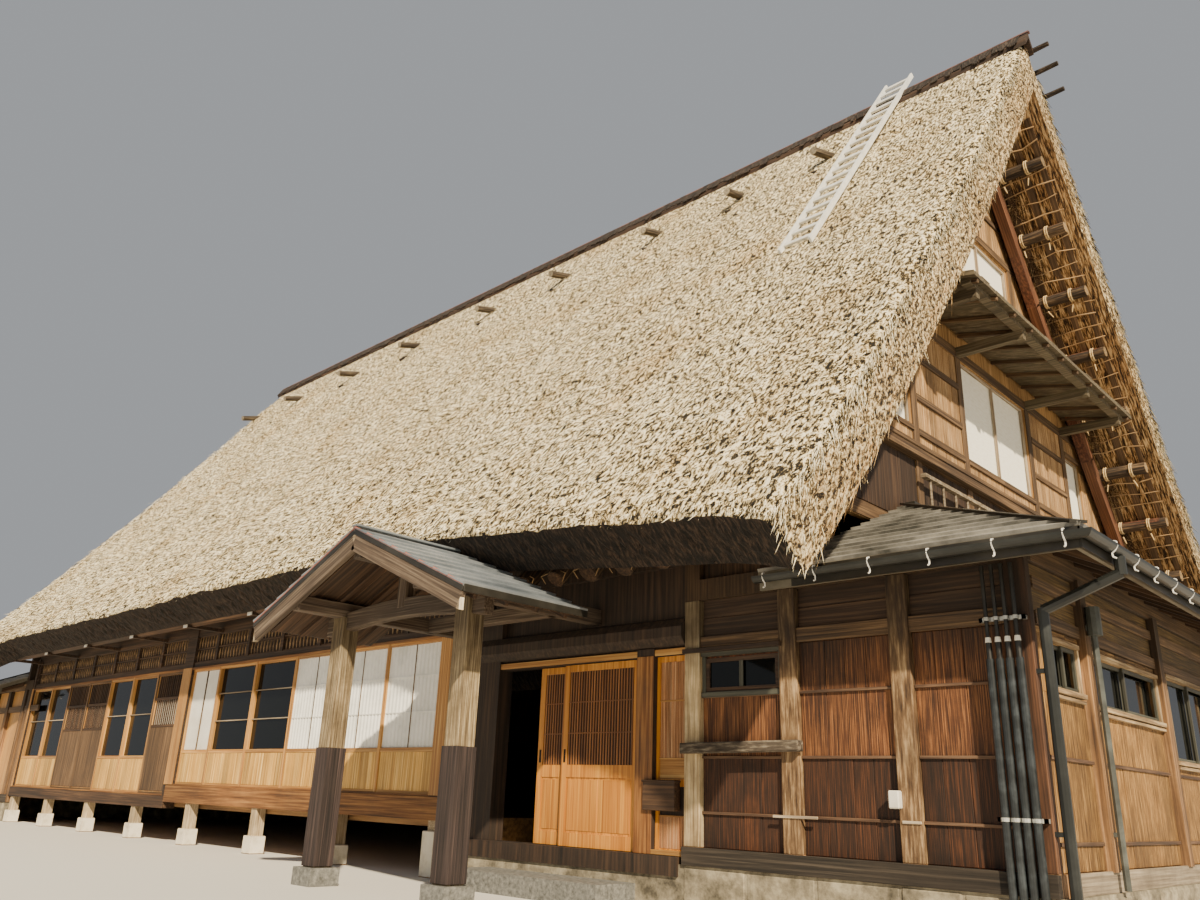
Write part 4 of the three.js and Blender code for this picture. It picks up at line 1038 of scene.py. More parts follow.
def sash_fill(kind, x0, x1, z0):
    """Timbers for one opening: glazing bars, a shutter or white sheets, by the part they belong to."""
    left, right, middle, top = x0 + sash_edge, x1 - sash_edge, (x0 + x1) / 2, pane_head
    if kind in ("glass", "big glass"):
        levels = [z0 + (top - z0) * s for s in ((0.52,) if kind == "glass" else (0.34, 0.68))]
        return {"glazing": blocks(*[(left, right, 0.042, 0.062, z, z + 0.014) for z in levels])}
    if kind == "shutter":
        bars = lattice(left, right, 1.665, 2.04, 0.05, 0.07, 0.022, 0.016)
        bars += lattice(left, right, 2.08, top - 0.004, 0.05, 0.07, 0.022, 0.016)
        bars += blocks(*[(left, right, 0.026, 0.06, z, z + 0.042) for z in (1.622, 2.04)])
        halves = ((left, middle - 0.001), (middle + 0.001, right))
        planks = blocks(*[(a, b, 0.02, 0.056, 0.69, 1.62) for a, b in halves])
        backing = blocks((left, right, 0.055, 0.062, 2.07, top))
        return {"bars": bars, "planks": planks, "backing": backing,
                "paper": blocks((left, right, 0.055, 0.062, 1.64, 2.06))}
    part, fill = ("sheets", ribbed) if kind == "ribbed" else ("panels", flat_panel)
    inner_left, inner_right, foot, head = middle - 0.012, middle + 0.012, z0 + 0.003, top - 0.003
    halves = fill(left, inner_left, foot, head) + fill(inner_right, right, foot, head)
    return {part: halves, "meeting": blocks((inner_left, inner_right, 0.036, 0.06, z0, top))}


def flat_panel(x0, x1, z0, z1):
    return blocks((x0, x1, 0.048, 0.06, z0, z1))


def ribbed(x0, x1, z0, z1, pitch=0.07, rib=0.012):
    """A sheet with upright ribs, as one closed plate, and two level battens over it."""
    count = max(2, round((x1 - x0) / pitch))
    xs = np.linspace(x0, x1, 4 * count + 1)
    ys = 0.05 - rib * np.clip(np.cos(np.linspace(0, 2 * math.pi * count, 4 * count + 1)), 0, 1)
    outline = list(zip(xs, ys)) + [(x1, 0.062), (x0, 0.062)]
    levels = (z0 + (z1 - z0) * 0.33, z0 + (z1 - z0) * 0.68)
    return [plate(outline, 2, z0, z1)] + blocks(*[(x0, x1, 0.038, 0.045, z, z + 0.012) for z in levels])


def openings(kinds, edges):
    return list(zip(kinds, edges[:-1], edges[1:]))


left_run = openings(
    ["glass", "glass", "shutter", "shutter", "glass", "glass", "shutter"],
    [-8.59 + k * bay for k in range(7)] + [-1.905])
right_run = openings(
    ["white", "big glass", "big glass", "ribbed", "ribbed", "ribbed"],
    [-1.598, -0.74, 0.34, 1.41, 2.45, 3.5, 4.553])
fills = {part: [] for part in "glazing meeting bars planks backing paper sheets panels".split()}
for run, z0 in ((left_run, 1.2), (right_run, 1.28)):
    for kind, x0, x1 in run:
        for part, timbers in sash_fill(kind, x0, x1, z0).items():
            fills[part] += timbers
ribbed_white = mottled("ribbed_white_sheet", "#D9DAD4 #EDEDE8 #F7F6F2", 350, 0.4)
make("sash_glazing_bars", fills["glazing"], grey_cedar)
make("sash_meeting_stiles", fills["meeting"], brown_post)
make("shutter_bars", fills["bars"], smoked_cedar, bevel=0.002)
make("shutter_planks", fills["planks"], brown_cedar)
make("shutter_backing", fills["backing"], behind_bars, bevel=0)
make("shutter_paper", fills["paper"], paper, bevel=0)
make("ribbed_sheets", fills["sheets"], ribbed_white, bevel=0)
make("white_sash_panels", fills["panels"], white_panel, bevel=0.001)

# %% [markdown]
# Under the panes each sash has boards in a frame, oiled at different times, so that the tones step from
# sash to sash. The sills below are thick and worn: dark brown on the left run, orange-brown on the right
# one.

# %% Sash stiles, lower boards, tracks and post faces
stiles, shutter_stiles, lower = [], [], []
for run, z0, top in ((left_run, 0.63, 1.2), (right_run, 0.781, 1.28)):
    for kind, x0, x1 in run:
        left, right = x0 + sash_edge, x1 - sash_edge
        sash = [(x, x + 0.026, 0.014, 0.034, z0, sash_head) for x in (x0 + 0.001, x1 - 0.027)]
        rail_levels = [z0] if kind == "shutter" else [z0, top - 0.045]
        sash += [(left, right, 0.018, 0.034, z, z + 0.045) for z in rail_levels]
        sash = blocks(*sash, (left, right, 0.018, 0.034, pane_head, sash_head))
        if kind == "shutter":
            shutter_stiles += sash
            continue
        stiles += sash
        joints = np.linspace(left, right, round((x1 - x0) / 0.19) + 1)
        for a, b in zip(joints[:-1], joints[1:]):
            face = 0.022 + dice.uniform(0, 0.003)
            lower.append(block(a + 0.001, b - 0.001, face, 0.032, z0 + 0.047, top - 0.047))
make("shutter_frames", shutter_stiles, brown_cedar, bevel=0.002)
make("sash_frames", stiles, honey_cypress, bevel=0.002)
make("sash_lower_boards", lower, pale_cypress, bevel=0.002)
runs = ((-8.675, -1.902, 0.628), (-1.6, 4.554, 0.779))
track = blocks(*[(x0, x1, -0.022, 0.028, z, z + 0.024) for x0, x1, z in runs])
track += blocks(*[(x0, x1, -0.022, 0.028, 2.455, 2.482) for x0, x1, _ in runs])
make("sash_tracks", track, sill_cedar)
post_rows = ((-1.896, -1.604, 0.79), (-8.678, -8.597, 0.64), (4.557, 4.748, 0.79))
post_face = blocks(*[(x0, x1, -0.026, -0.019, z0, 2.48) for x0, x1, z0 in post_rows])
make("window_post_faces", post_face, honey_cypress, bevel=0.002)

# %% [markdown]
# ## Turned spindles over the windows
# The transom is filled with two rows of small brown turned spindles. A real one is turned on a lathe to a
# double cone. Each is two tapered poles foot to foot, thick in the middle, spaced 88 mm apart. Under the
# eave the arms' sawn ends are painted white, and one long log lies on the arms.

# %% Spindles, rails, arm ends and the log under the eave
spindles = []
for base in (2.568, 2.768):
    for k in range(int((4.55 + 8.58) / 0.088)):
        x = -8.545 + k * 0.088
        if abs((x + 8.59 + bay / 2) % bay - bay / 2) > 0.055:
            for tip in (base, base + 0.17):
                spindles.append(pole((x, 0.035, base + 0.085), (x, 0.035, tip), 0.0135, 0.004, 6))
turned = wood("turned_brown_cypress", "#5E4830 #8C6F4C #B39468", 20, 200, 0.55)
make("transom_spindles", spindles, turned, bevel=0)
rails = blocks(*[(-8.585, 4.55, 0.02, 0.062, z, z + 0.02) for z in (2.556, 2.752, 2.945)])
make("transom_rails", rails, smoked_cedar)
arms = [-8.5 + k * 2 * bay for k in range(7)]
arm_ends = blocks(*[(x - 0.058, x + 0.058, -0.572, -0.559, 2.948, 3.004) for x in arms])
make("arm_end_paint", arm_ends, white_enamel, bevel=0.002)
eave_log = [pole((-8.98, -0.45, 3.045), (4.23, -0.45, 3.045), 0.075, sides=14)]
make("eave_log", eave_log, smoked_cedar, bevel=0, smooth=True)

# %% [markdown]
# ## The porch
# Two posts on stones carry a small gable of sheet metal. The sheets lap like boards, parallel to the ridge,
# with a red flashing and a black roll along both rakes. Where feet and rain strike them, the posts wear
# dark cladding. The bargeboards' ends were sawn fresh and are pale.


# %% Lapped sheets for any roof face
def course(low_a, low_b, high_b, high_a, lift_low, lift_high=0.003):
    """One lap of sheet: a wedge on a roof face, thickest along its lower edge."""
    corners = np.array([low_a, low_b, high_b, high_a], float)
    normal = np.cross(corners[1] - corners[0], corners[3] - corners[0])
    normal *= np.sign(normal[2]) / np.linalg.norm(normal)
    top = corners + normal * np.array([lift_low, lift_low, lift_high, lift_high])[:, None]
    points = np.concatenate([corners - normal * 0.001, top])
    faces = [(0, 1, 2, 3), (4, 5, 6, 7), (0, 1, 5, 4), (1, 2, 6, 5), (2, 3, 7, 6), (3, 0, 4, 7)]
    return points, faces, points - points[0]


def courses(low_a, low_b, high_b, high_a, count, lift_low):
    """A whole roof face in laps, from its lower edge to its upper one, each lap a little under the next."""
    low_a, low_b, high_b, high_a = (np.array(p, float) for p in (low_a, low_b, high_b, high_a))
    laps = []
    for k in range(count):
        s, t = k / count, (k + 1.06) / count if k < count - 1 else 1.0
        edges = [(low_a, high_a, s), (low_b, high_b, s), (low_b, high_b, t), (low_a, high_a, t)]
        laps.append(course(*[low + (high - low) * share for low, high, share in edges], lift_low))
    return laps


# %% Porch roof
porch_x, porch_half, porch_fall, porch_top = 5.9, 1.62, 0.432, 3.03
porch_front, porch_back = -2.13, -0.76
porch_laps, flashing, roll = [], [], []
for side in (-1, 1):
    x, z = porch_x + side * porch_half, porch_top - porch_half * porch_fall
    face = [(x, porch_front, z), (x, porch_back, z), (porch_x, porch_back, porch_top),
            (porch_x, porch_front, porch_top)]
    if side < 0:
        face = [face[i] for i in (1, 0, 3, 2)]
    porch_laps += courses(*face, 8, lift_low=0.022)
    rims = ((flashing, 0.009, 0.004, 0.014, 0.018), (roll, 0.013, -0.034, 0.02, 0.04))
    for rim, y, drop, wide, deep in rims:
        low = (x - side * 0.004, porch_front + y, z + drop)
        rim.append(beam(low, (porch_x, porch_front + y, porch_top + drop), wide, deep))
    across = sorted((x - side * 0.008, x + side * 0.004))
    roll.append(block(*across, porch_front + 0.014, porch_back, z - 0.055, z + 0.004))
ends = [(porch_x, y, porch_top + 0.022) for y in (porch_front, porch_back)]
ridge_roll = [beam(*ends, 0.09, 0.02)]
deck_y, deck_half = (porch_front + 0.008 + porch_back) / 2, porch_half - 0.01
decks = []
for side in (-1, 1):
    low = (porch_x + side * deck_half, deck_y, porch_top - deck_half * porch_fall - 0.03)
    decks.append(beam(low, (porch_x, deck_y, porch_top - 0.03), porch_back - porch_front - 0.008, 0.05))
porch_deck = make("porch_deck", decks, porch_steel, bevel=0)
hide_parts("porch_roof")
make("porch_laps", porch_laps, porch_steel, bevel=0)
make("porch_ridge_roll", ridge_roll, porch_steel)
make("porch_flashing", flashing, coral_steel, bevel=0.001)
make("porch_roll", roll, dark_steel, bevel=0.002)

# %% Cladding of the posts, rafters and the bargeboards' pale ends
post_x, post_y = (4.95, 6.85), -1.5
cladding = []
for x in post_x:
    for sx, sy in ((1, 0), (-1, 0), (0, 1), (0, -1)):
        for shift in (-0.066, 0, 0.066):
            cx, cy = x + sx * 0.096 + sy * shift, post_y + sy * 0.096 + sx * shift
            half_x, half_y = (0.007, 0.032) if sx else (0.032, 0.007)
            cladding.append(block(cx - half_x, cx + half_x, cy - half_y, cy + half_y, 0.16, 1.18))
porch_rafters, pale_ends = [], []
for side in (-1, 1):
    for k in range(4):
        y = -1.95 + k * 0.33
        low = (porch_x + side * 1.56, y, porch_top - 0.1 - 1.53 * porch_fall)
        porch_rafters.append(beam((porch_x + side * 0.03, y, porch_top - 0.1), low, 0.045, 0.045))
    x, z = porch_x + side * 1.581, porch_top - 0.0605 - 1.581 * porch_fall
    across = sorted((x, x + side * 0.006))
    pale_ends.append(block(*across, porch_front + 0.012, porch_front + 0.053, z - 0.148, z))
black_cladding = wood("burnt_board_cladding", "#181212 #302625 #4C3E3A", 18, 900, 0.85, worn=0.3)
make("porch_post_cladding", cladding, black_cladding)
make("porch_rafters", porch_rafters, smoked_cedar)
fresh_cut = wood("fresh_sawn_end", "#B9A88C #D8CBB0 #EBE2CD", 20, 100, 0.8)
make("bargeboard_ends", pale_ends, fresh_cut, bevel=0)

# %% [markdown]
# ## Lean-to roofs
# At both ends a low roof of painted sheet wraps round three sides. The sheets are laid in level laps a hand
# and a half wide, which shows as fine dark lines. The frame has the three faces as one folded slab, so a
# face is described by its four corners, and the same function that lapped the porch laps it. The mirrored
# roof at the other end is the same timbers flipped.

# %% Laps, hips and rafters of the lean-to roofs
lean_in, lean_out = gable_x + 0.062, half_length + 0.525
lean_front, lean_back, lean_eave, lean_top = -0.5, depth + 0.5, 2.52, 3.68
hip_front, hip_back = 2.1, depth - 2.1
inner_low, inner_back = (lean_in, lean_front, lean_eave), (lean_in, lean_back, lean_eave)
corner, corner_back = (lean_out, lean_front, lean_eave), (lean_out, lean_back, lean_eave)
hip_top, hip_top_back = (lean_in, hip_front, lean_top), (lean_in, hip_back, lean_top)
laps = courses(inner_low, corner, hip_top, hip_top, 14, lift_low=0.026)
laps += courses(corner, corner_back, hip_top_back, hip_top, 13, lift_low=0.022)
laps += courses(corner_back, inner_back, hip_top_back, hip_top_back, 14, lift_low=0.026)
hips = [beam(np.add(low, (0, 0, 0.02)), np.add(high, (0, 0, 0.02)), 0.11, 0.02)
        for low, high in ((corner, hip_top), (corner_back, hip_top_back))]
hips += blocks((lean_in - 0.02, lean_in + 0.1, hip_front, hip_back, lean_top - 0.03, lean_top + 0.035))
rafter_low, rafter_size = lean_eave - 0.105, (0.05, 0.055)
eave_rafters = []
for k in range(23):
    y = 0.14 + k * 0.4364
    high = (half_length + 0.004, y, rafter_low + 0.46 * 0.489)
    eave_rafters.append(beam((lean_out - 0.06, y, rafter_low), high, *rafter_size))
for k in range(4):
    x = 9.25 + k * 0.46
    for low_y, high_y in ((lean_front + 0.06, -0.034), (lean_back - 0.06, depth + 0.034)):
        high = (x, high_y, rafter_low + 0.406 * 0.446)
        eave_rafters.append(beam((x, low_y, rafter_low), high, *rafter_size))
fascia = blocks(
    (lean_in + 0.3, lean_out - 0.01, lean_front - 0.004, lean_front + 0.018, 2.378, 2.515),
    (lean_out - 0.018, lean_out + 0.004, lean_front, lean_back, 2.378, 2.515),
    (lean_in + 0.3, lean_out - 0.01, lean_back - 0.018, lean_back + 0.004, 2.378, 2.515))
lean_steel = mottled("weathered_grey_steel_laps", "#4F4F49 #82807A #A8A59C", 350, 0.5)
make_ends(
    ("lean_to_laps", laps, lean_steel, "seam_metal"),
    ("lean_to_hips", hips, dark_steel, "seam_metal"),
    ("lean_to_fascia", fascia, dark_steel, "seam_metal"),
    ("lean_to_rafters", eave_rafters, smoked_cedar, "tan_boards"),
    bevel=0,
)

# %% [markdown]
# ## Gutter hooks
# White hooks carry the gutters: a flat strap over the lip and a curl below. Each is a bent bar, so a helper
# threads short poles along a line of points.


# %% Hooks along a gutter
def bent_bar(points, radius, sides=6):
    return [pole(a, b, radius, sides=sides) for a, b in zip(points[:-1], points[1:])]


# One hook: outwards from the edge of the roof, and up or down from the gutter's lip.
hook_out = (0.056, 0.086, 0.089, 0.074, 0.052, 0.056, 0.076)
hook_up = (0.018, 0.01, -0.02, -0.045, -0.062, -0.088, -0.098)
hook, lip_z, hooks = list(zip(hook_out, hook_up)), 2.475, []
for k in range(6):
    x = 9.2 + k * 0.44
    hooks += bent_bar([(x, -0.502 - d, lip_z + h) for d, h in hook], 0.006)
    hooks += bent_bar([(x, depth + 0.502 + d, lip_z + h) for d, h in hook], 0.006)
for k in range(23):
    y = -0.1 + k * 0.45
    hooks += bent_bar([(lean_out + 0.001 + d, y, lip_z + h) for d, h in hook], 0.006)
make_ends(("gutter_hooks", hooks, white_enamel, "gutter_metal"), bevel=0)

# %% [markdown]
# ## End walls
# The end walls are bright: they get the sun. Tan boards stand between posts, battens cross them and each
# window has a double sill. A level beam runs over the window heads. Boards are left out where a window is,
# so one function walks along the wall, from post to post, and lays boards below and above each opening.


# %% Boards round the windows of a wall
def wall_with_windows(wall, posts, windows, bottom, head, wide=0.24, face=board_back):
    """Boards between posts, cut out for the windows. Returns boards, battens and sills."""
    laid, crossed, sills = [], [], []
    for a0, a1 in zip(posts[:-1], posts[1:]):
        left, right = a0 + post_half, a1 - post_half
        inside = [w for w in windows if w[0] < right and w[1] > left]
        if not inside:
            laid += boards(wall, left, right, bottom, head, wide, face)
            crossed += battens(wall, left, right, (0.64, 1.17, 1.62), face)
            continue
        w0, w1, z0, z1 = inside[0]
        w0, w1, low, high = w0 - 0.03, w1 + 0.03, z0 - 0.045, z1 + 0.03
        laid += boards(wall, left, right, bottom, low, wide, face)
        laid += boards(wall, left, right, high, head, wide, face)
        for a, b in ((left, w0), (w1, right)):
            if b - a > 0.05:
                laid += boards(wall, a, b, low, high, wide, face)
        crossed += battens(wall, left, right, [z for z in (0.64, 1.17) if z < z0 - 0.1], face)
        sills += on_wall(
            wall,
            (w0, w1, z0 - 0.04, z0 - 0.004, face, 0.018),
            (w0, w1, z0 - 0.075, z0 - 0.05, face, 0.008),
            (w0, w1, z1 + 0.002, z1 + 0.036, face, 0.004),
            (w0, w0 + 0.029, z0 - 0.004, z1 + 0.002, face, -0.006),
            (w1 - 0.029, w1, z0 - 0.004, z1 + 0.002, face, -0.006),
        )
    return laid, crossed, sills


def window_bars(wall, windows, face=-0.07):
    """Sash frames inside each opening: two sashes, the nearer one lapping the other."""
    bars = []
    for w0, w1, z0, z1 in windows:
        middle = (w0 + w1) / 2
        for a, b, d in ((w0, middle + 0.02, face), (middle - 0.02, w1, face + 0.022)):
            rows = [(a, b, z, z + 0.03, d, d + 0.02) for z in (z0, z1 - 0.03)]
            rows += [(p, p + 0.03, z0 + 0.03, z1 - 0.03, d, d + 0.02) for p in (a, b - 0.03)]
            bars += on_wall(wall, *rows)
    return bars


# %% Both end walls
end_run = (0.1, depth - 0.1)
end_posts = [0.02, 0.995, 2.865, 4.775, 6.685, 8.595, 9.86]
end_windows = [(0.35, 0.84, 1.65, 1.96), (1.14, 2.77, 1.6, 1.96), (3.1, 4.62, 1.31, 2.01),
               (5.01, 6.53, 1.31, 2.01), (7.1, 8.74, 1.6, 1.96)]
end_tan = wood("sunlit_end_cedar", "#2E1D0D #86602F #C9A062 #46301A", 10, 240, worn=0.8, painted_eave_shade=0.5)
# The head boards, under the lean-to roof, are a darker olive: painted shade.
end_upper = wood("olive_end_board_painted_shade", "#33281A #574427 #7C643A", 12, 400, worn=0.6)
pale_sill = wood("sun_bleached_sill", "#5E4A33 #9A8160 #C9B48E #3A2B1D", 24, 500, 0.8, worn=0.7)
for wall in ("right", "left"):
    laid, crossed, sills = wall_with_windows(wall, end_posts, end_windows[:4], 0.485, 2.045)
    rails = on_wall(wall, *[(*end_run, *z, board_back, -0.004) for z in ((2.05, 2.14), (2.3, 2.38))])
    upper = on_wall(wall, *[(*end_run, *z, board_back, -0.028) for z in ((2.142, 2.298), (2.382, 2.478))])
    frames = window_bars(wall, end_windows)
    make(f"end_wall_boards_{wall}", laid, end_tan)
    make(f"end_wall_battens_{wall}", crossed, batten_brown)
    make(f"end_wall_sills_{wall}", sills, pale_sill)
    make(f"end_wall_rails_{wall}", rails, brown_post)
    make(f"end_wall_head_{wall}", upper, end_upper)
    make(f"end_window_frames_{wall}", frames, window_frame, bevel=0.001)

# %% [markdown]
# ## Rear wall
# The photographed sides show how this family of walls goes, and the rear repeats it plainly: the same
# boards, battens, sills and sashes, with a level row of boards under the plate.

# %% Rear boards
rear_posts = [-10.875, -9.02, -6.68, -4.775, -2.865, -0.955, 0.955, 2.865, 4.775, 6.68, 9.02, 10.875]
rear_windows = [(x - 0.76, x + 0.76, 1.31, 2.01) for x in (-7.6, -3.8, 0.0, 3.8, 7.6)]
laid, crossed, sills = wall_with_windows("rear", rear_posts, rear_windows, 0.485, 2.3)
level_rows = []
for a0, a1 in zip(rear_posts[1:-2], rear_posts[2:-1]):
    for k in range(4):
        z, face = 2.31 + k * 0.183, -0.026 - 0.003 * (k % 2)
        level_rows.append((a0 + post_half, a1 - post_half, z, z + 0.179, board_back, face))
rear_rail = on_wall("rear", (-10.8, 10.8, 2.05, 2.13, board_back, -0.002))
make("rear_wall_boards", laid, end_tan)
make("rear_wall_battens", crossed, grey_cedar)
make("rear_wall_sills", sills, pale_sill)
make("rear_level_boards", on_wall("rear", *level_rows), shadow_cedar)
make("rear_wall_rail", rear_rail, grey_cedar)
make("rear_window_frames", window_bars("rear", rear_windows), window_frame, bevel=0.001)

# %% [markdown]
# ## Under the gable's overhang
# From below, the straw shows its golden underside between what holds it. Heavy logs stand out over the
# gable at every half metre, their sawn ends grey. Thin battens of split wood lie between them, three flat
# laths run down the slope, and rope ties each log. The frame has the short ends of the logs. Each gets a
# rougher skin here, and everything else hangs from the line of the straw's underside.


# %% Points under the straw
def beneath_straw(x, y, below):
    """A point under the front straw at some depth of the house, by a distance square to the slope."""
    return np.array((x, y, under_straw(y, below)))


def ring(centre, radius, thick, turns=10, sides=5):
    """A turn of rope round a level pole that runs along x."""
    local, faces = [], []
    for k in range(turns):
        t, after = 2 * math.pi * k / turns, (k + 1) % turns * sides
        for j in range(sides):
            r, ahead = 2 * math.pi * j / sides, (j + 1) % sides
            reach = radius + thick * math.cos(r)
            local.append((thick * math.sin(r), reach * math.cos(t), reach * math.sin(t)))
            faces.append((k * sides + j, k * sides + ahead, after + ahead, after + j))
    local = np.array(local)
    return np.array(centre, float) + local, faces, local


# %% Logs, ropes, battens and laths
logs, log_ends, ropes, split_battens, flat_laths = [], [], [], [], []
log_y = [0.52 + 0.56 * k for k in range(8)]
for y in log_y:
    radius = dice.uniform(0.076, 0.09)
    start, tip = beneath_straw(9.1, y, 0.078), beneath_straw(9.8 + dice.uniform(0.01, 0.09), y, 0.078)
    logs.append(pole(start, tip, radius, radius * 0.95, 10))
    log_ends.append(pole(tip - (0.002, 0, 0), tip + (0.005, 0, 0), radius * 0.9, radius * 0.88, 10))
    for x in (9.3 + dice.uniform(-0.04, 0.04), 9.68 + dice.uniform(-0.05, 0.03)):
        for shift in (-0.013, 0.013):
            ropes.append(ring(beneath_straw(x + shift, y, 0.078), radius + 0.008, 0.011))
        knot = beneath_straw(x, y - 0.01, 0.078 + radius)
        ropes.append(pole(knot, knot + (dice.uniform(-0.04, 0.06), -0.02, -0.1), 0.011, 0.007, 6))
for y in np.arange(-0.5, 4.7, 0.115):
    if min(abs(y - log) for log in log_y) < 0.05:
        continue
    along = (9.13, 9.4, 9.65, 9.86 + dice.uniform(0, 0.06))
    bends = [beneath_straw(x, y + dice.normal(0, 0.012), 0.016) for x in along]
    split_battens += bent_bar(bends, dice.uniform(0.006, 0.011))
lath_line = (-0.5, 0.47, 1.96, 3.45, 4.75)
for x in (9.28, 9.56, 9.8):
    for y0, y1 in zip(lath_line[:-1], lath_line[1:]):
        a, b = beneath_straw(x, y0, 0.004), beneath_straw(x + 0.02, y1, 0.004)
        flat_laths.append(beam(a, b, dice.uniform(0.06, 0.1), 0.012, (0, -0.8, 0.6)))
dark_log = wood("smoke_blackened_log", "#17110C #3E3024 #846C50 #120D09", 22, 400, 0.8, worn=0.9)
log_end = wood("grey_sawn_log_end", "#4E4130 #86704F #B49468", 20, 60, 0.9, worn=0.4)
straw_rope = mottled("straw_rope", "#8E7548 #C9AE7E #E2CCA0", 12, 0.9, 3)
split_wood = wood("split_pale_batten", "#8B6A44 #B8966A #DCC098", 16, 400, 0.8, worn=0.3)
make_ends(
    ("overhang_logs", both_sides(logs), dark_log, "dark_wood"),
    ("overhang_ends", both_sides(log_ends), log_end, "dark_wood"),
    ("overhang_ropes", both_sides(ropes), straw_rope, "straw"),
    ("overhang_battens", both_sides(split_battens), split_wood, "grey_wood"),
    ("overhang_laths", both_sides(flat_laths), brown_cedar, "dark_wood"),
    bevel=0,
)

# %% [markdown]
# ## Loose straw under the overhang
# Where the straw was pushed over the raking rafters it has frayed into tufts, and long stalks hang along
# the inner edge of the verge. They are spikes again, in the same straw coordinates, with the golden finish.


# %% Tufts and hanging strands
def tufts(name, rear, seed, count=90):
    draw = np.random.default_rng(seed)
    middles = np.linspace(0.12, 0.86, 9)
    sides = np.repeat([-1.0, 1.0], len(middles) * count)
    total = len(sides)
    reach = np.tile(np.repeat(middles, count), 2) + draw.normal(0, 0.011, total)
    x, v = sides * (9.24 + np.abs(draw.normal(0, 0.07, total))), reach * 9.7
    feet = np.stack([x, v, np.interp(v, *inner_line.T) + 0.02], -1)
    outwards, along = sides * draw.uniform(-0.2, 1.0, total), draw.normal(0.4, 0.5, total)
    ways = np.stack([outwards, along, -draw.uniform(0.4, 1.2, total)], -1)
    lengths, widths = draw.uniform(0.12, 0.32, total), draw.uniform(0.006, 0.012, total)
    spikes(name, feet, ways, lengths, widths, draw.normal(-0.02, 0.08, total), rear, warm_straw)


def verge_strands(name, rear, count, seed):
    draw = np.random.default_rng(seed)
    sides = draw.choice([-1.0, 1.0], count)
    reach, share = draw.uniform(0.02, 0.97, count), draw.uniform(0.72, 1.0, count)
    x, v, w = slope_place(sides, reach, share)
    feet = np.stack([x - sides * draw.uniform(0.0, 0.12, count), v, w + 0.01], -1)
    outwards = sides * draw.uniform(-0.12, 0.12, count)
    ways = np.stack([outwards, np.ones(count), -draw.uniform(0.02, 0.3, count)], -1)
    lengths, widths = draw.uniform(0.12, 0.4, count), draw.uniform(0.005, 0.01, count)
    spikes(name, feet, ways, lengths, widths, draw.normal(0.06, 0.1, count), rear, warm_straw)


for rear, hand in ((False, "front"), (True, "rear")):
    tufts(f"straw_tufts_{hand}", rear, 71 + rear)
    verge_strands(f"verge_strands_{hand}", rear, 3200, 81 + rear)

# %% [markdown]
# ## Log ends under the eave
# At the right of the front eave the rafters' thick ends show as dark rounds with rope bows. They lie on the
# slope's line, so one log's direction follows the pitch of the lowest part of the roof.

# %% Eave logs and their bows
eave_logs, eave_bows, eave_ends = [], [], []
for k in range(8):
    foot = np.array((6.34 + k * 0.43, -0.44, 2.76))
    head = foot + np.array((0, 1.0, 1.19)) * 0.42
    radius = dice.uniform(0.088, 0.1)
    eave_logs.append(pole(head, foot, radius, sides=12))
    a, b = foot + (0, 0.002, 0.002), foot - (0, 0.004, 0.005)
    eave_ends.append(pole(a, b, radius * 0.93, radius * 0.9, 12))
    for lean, sag in ((-0.5, 0.035), (0.6, 0.03)):
        bow = [(lean * 0.08, 0, 0.08), (lean * 0.3, -0.05, sag), (lean * 0.2, -0.03, -0.04)]
        eave_bows += bent_bar([foot + p for p in bow], 0.004, 5)
make("eave_logs_front", eave_logs, dark_log, bevel=0)
make("eave_log_ends_front", eave_ends, smoked_cedar, bevel=0)
make("eave_rope_bows_front", eave_bows, split_wood, bevel=0)

# %% [markdown]
# ## Pipes at the corner
# Four thin service pipes come down beside the corner post: bare and black above, with a white collar, then
# in thick grey foam sleeves. The frame has four plain bars, so this piece takes their place and keeps their
# line.


# %% Four sleeved pipes
def upright(x, z0, z1, radius, tip=None, sides=10):
    return pole((x, -0.095, z0), (x, -0.095, z1), radius, tip, sides)


sleeves, bare, collars, clamps = [], [], [], []
clamp_levels = ((0.79, 0.0295), (2.07, 0.018))
for x in (10.68, 10.746, 10.812, 10.878):
    sleeves.append(upright(x, 0.05, 1.8, 0.0265, sides=12))
    bare += [upright(x, 1.8, 2.44, 0.014), upright(x, 1.78, 1.91, 0.02)]
    collars.append(upright(x, 1.91, 1.945, 0.022, 0.018))
    clamps += [upright(x, z - 0.012, z + 0.012, radius, sides=12) for z, radius in clamp_levels]
for z, _ in clamp_levels:
    clamps.append(block(10.62, 10.935, -0.075, -0.06, z - 0.014, z + 0.014))
    clamps += blocks(*[(x, x + 0.025, -0.075, -0.031, z - 0.014, z + 0.014) for x in (10.62, 10.91)])
black_pipe = mottled("black_coated_pipe", "#141413 #1F1F1E #2C2C2A", 80, 0.4)
galvanised = mottled("galvanised_clamp", "#9B9C98 #C3C4BF #DCDDD8", 30, 0.42, Metallic=0.6)
sleeved = make("pipe_sleeves", sleeves, foam_sleeve, bevel=0)
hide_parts("wall_pipes")
make("bare_pipes", bare, black_pipe, bevel=0)
make("pipe_collars", collars, white_plastic, bevel=0)
make("pipe_clamps", clamps, galvanised, bevel=0)

# %% [markdown]
# ## Foundations
# The right part stands on a low wall of rough stones in mortar. From the yard one sees squarish faces with
# dark joints. Each stone is a block with a wide worn arris, a little proud of the frame's wall.


# %% Rough stones on a wall
def stones(wall, a0, a1, top=0.335, face=0.04):
    """One row of stones along a wall, from the ground to top."""
    rows, a = [], a0
    while a < a1 - 0.12:
        b = min(a + dice.uniform(0.32, 0.78), a1)
        if a1 - b < 0.15:
            b = a1
        proud = face + dice.uniform(0.004, 0.02)
        rows.append((a + 0.006, b - 0.006, 0.004, top - 0.004, face - 0.03, proud))
        a = b
    return on_wall(wall, *rows)


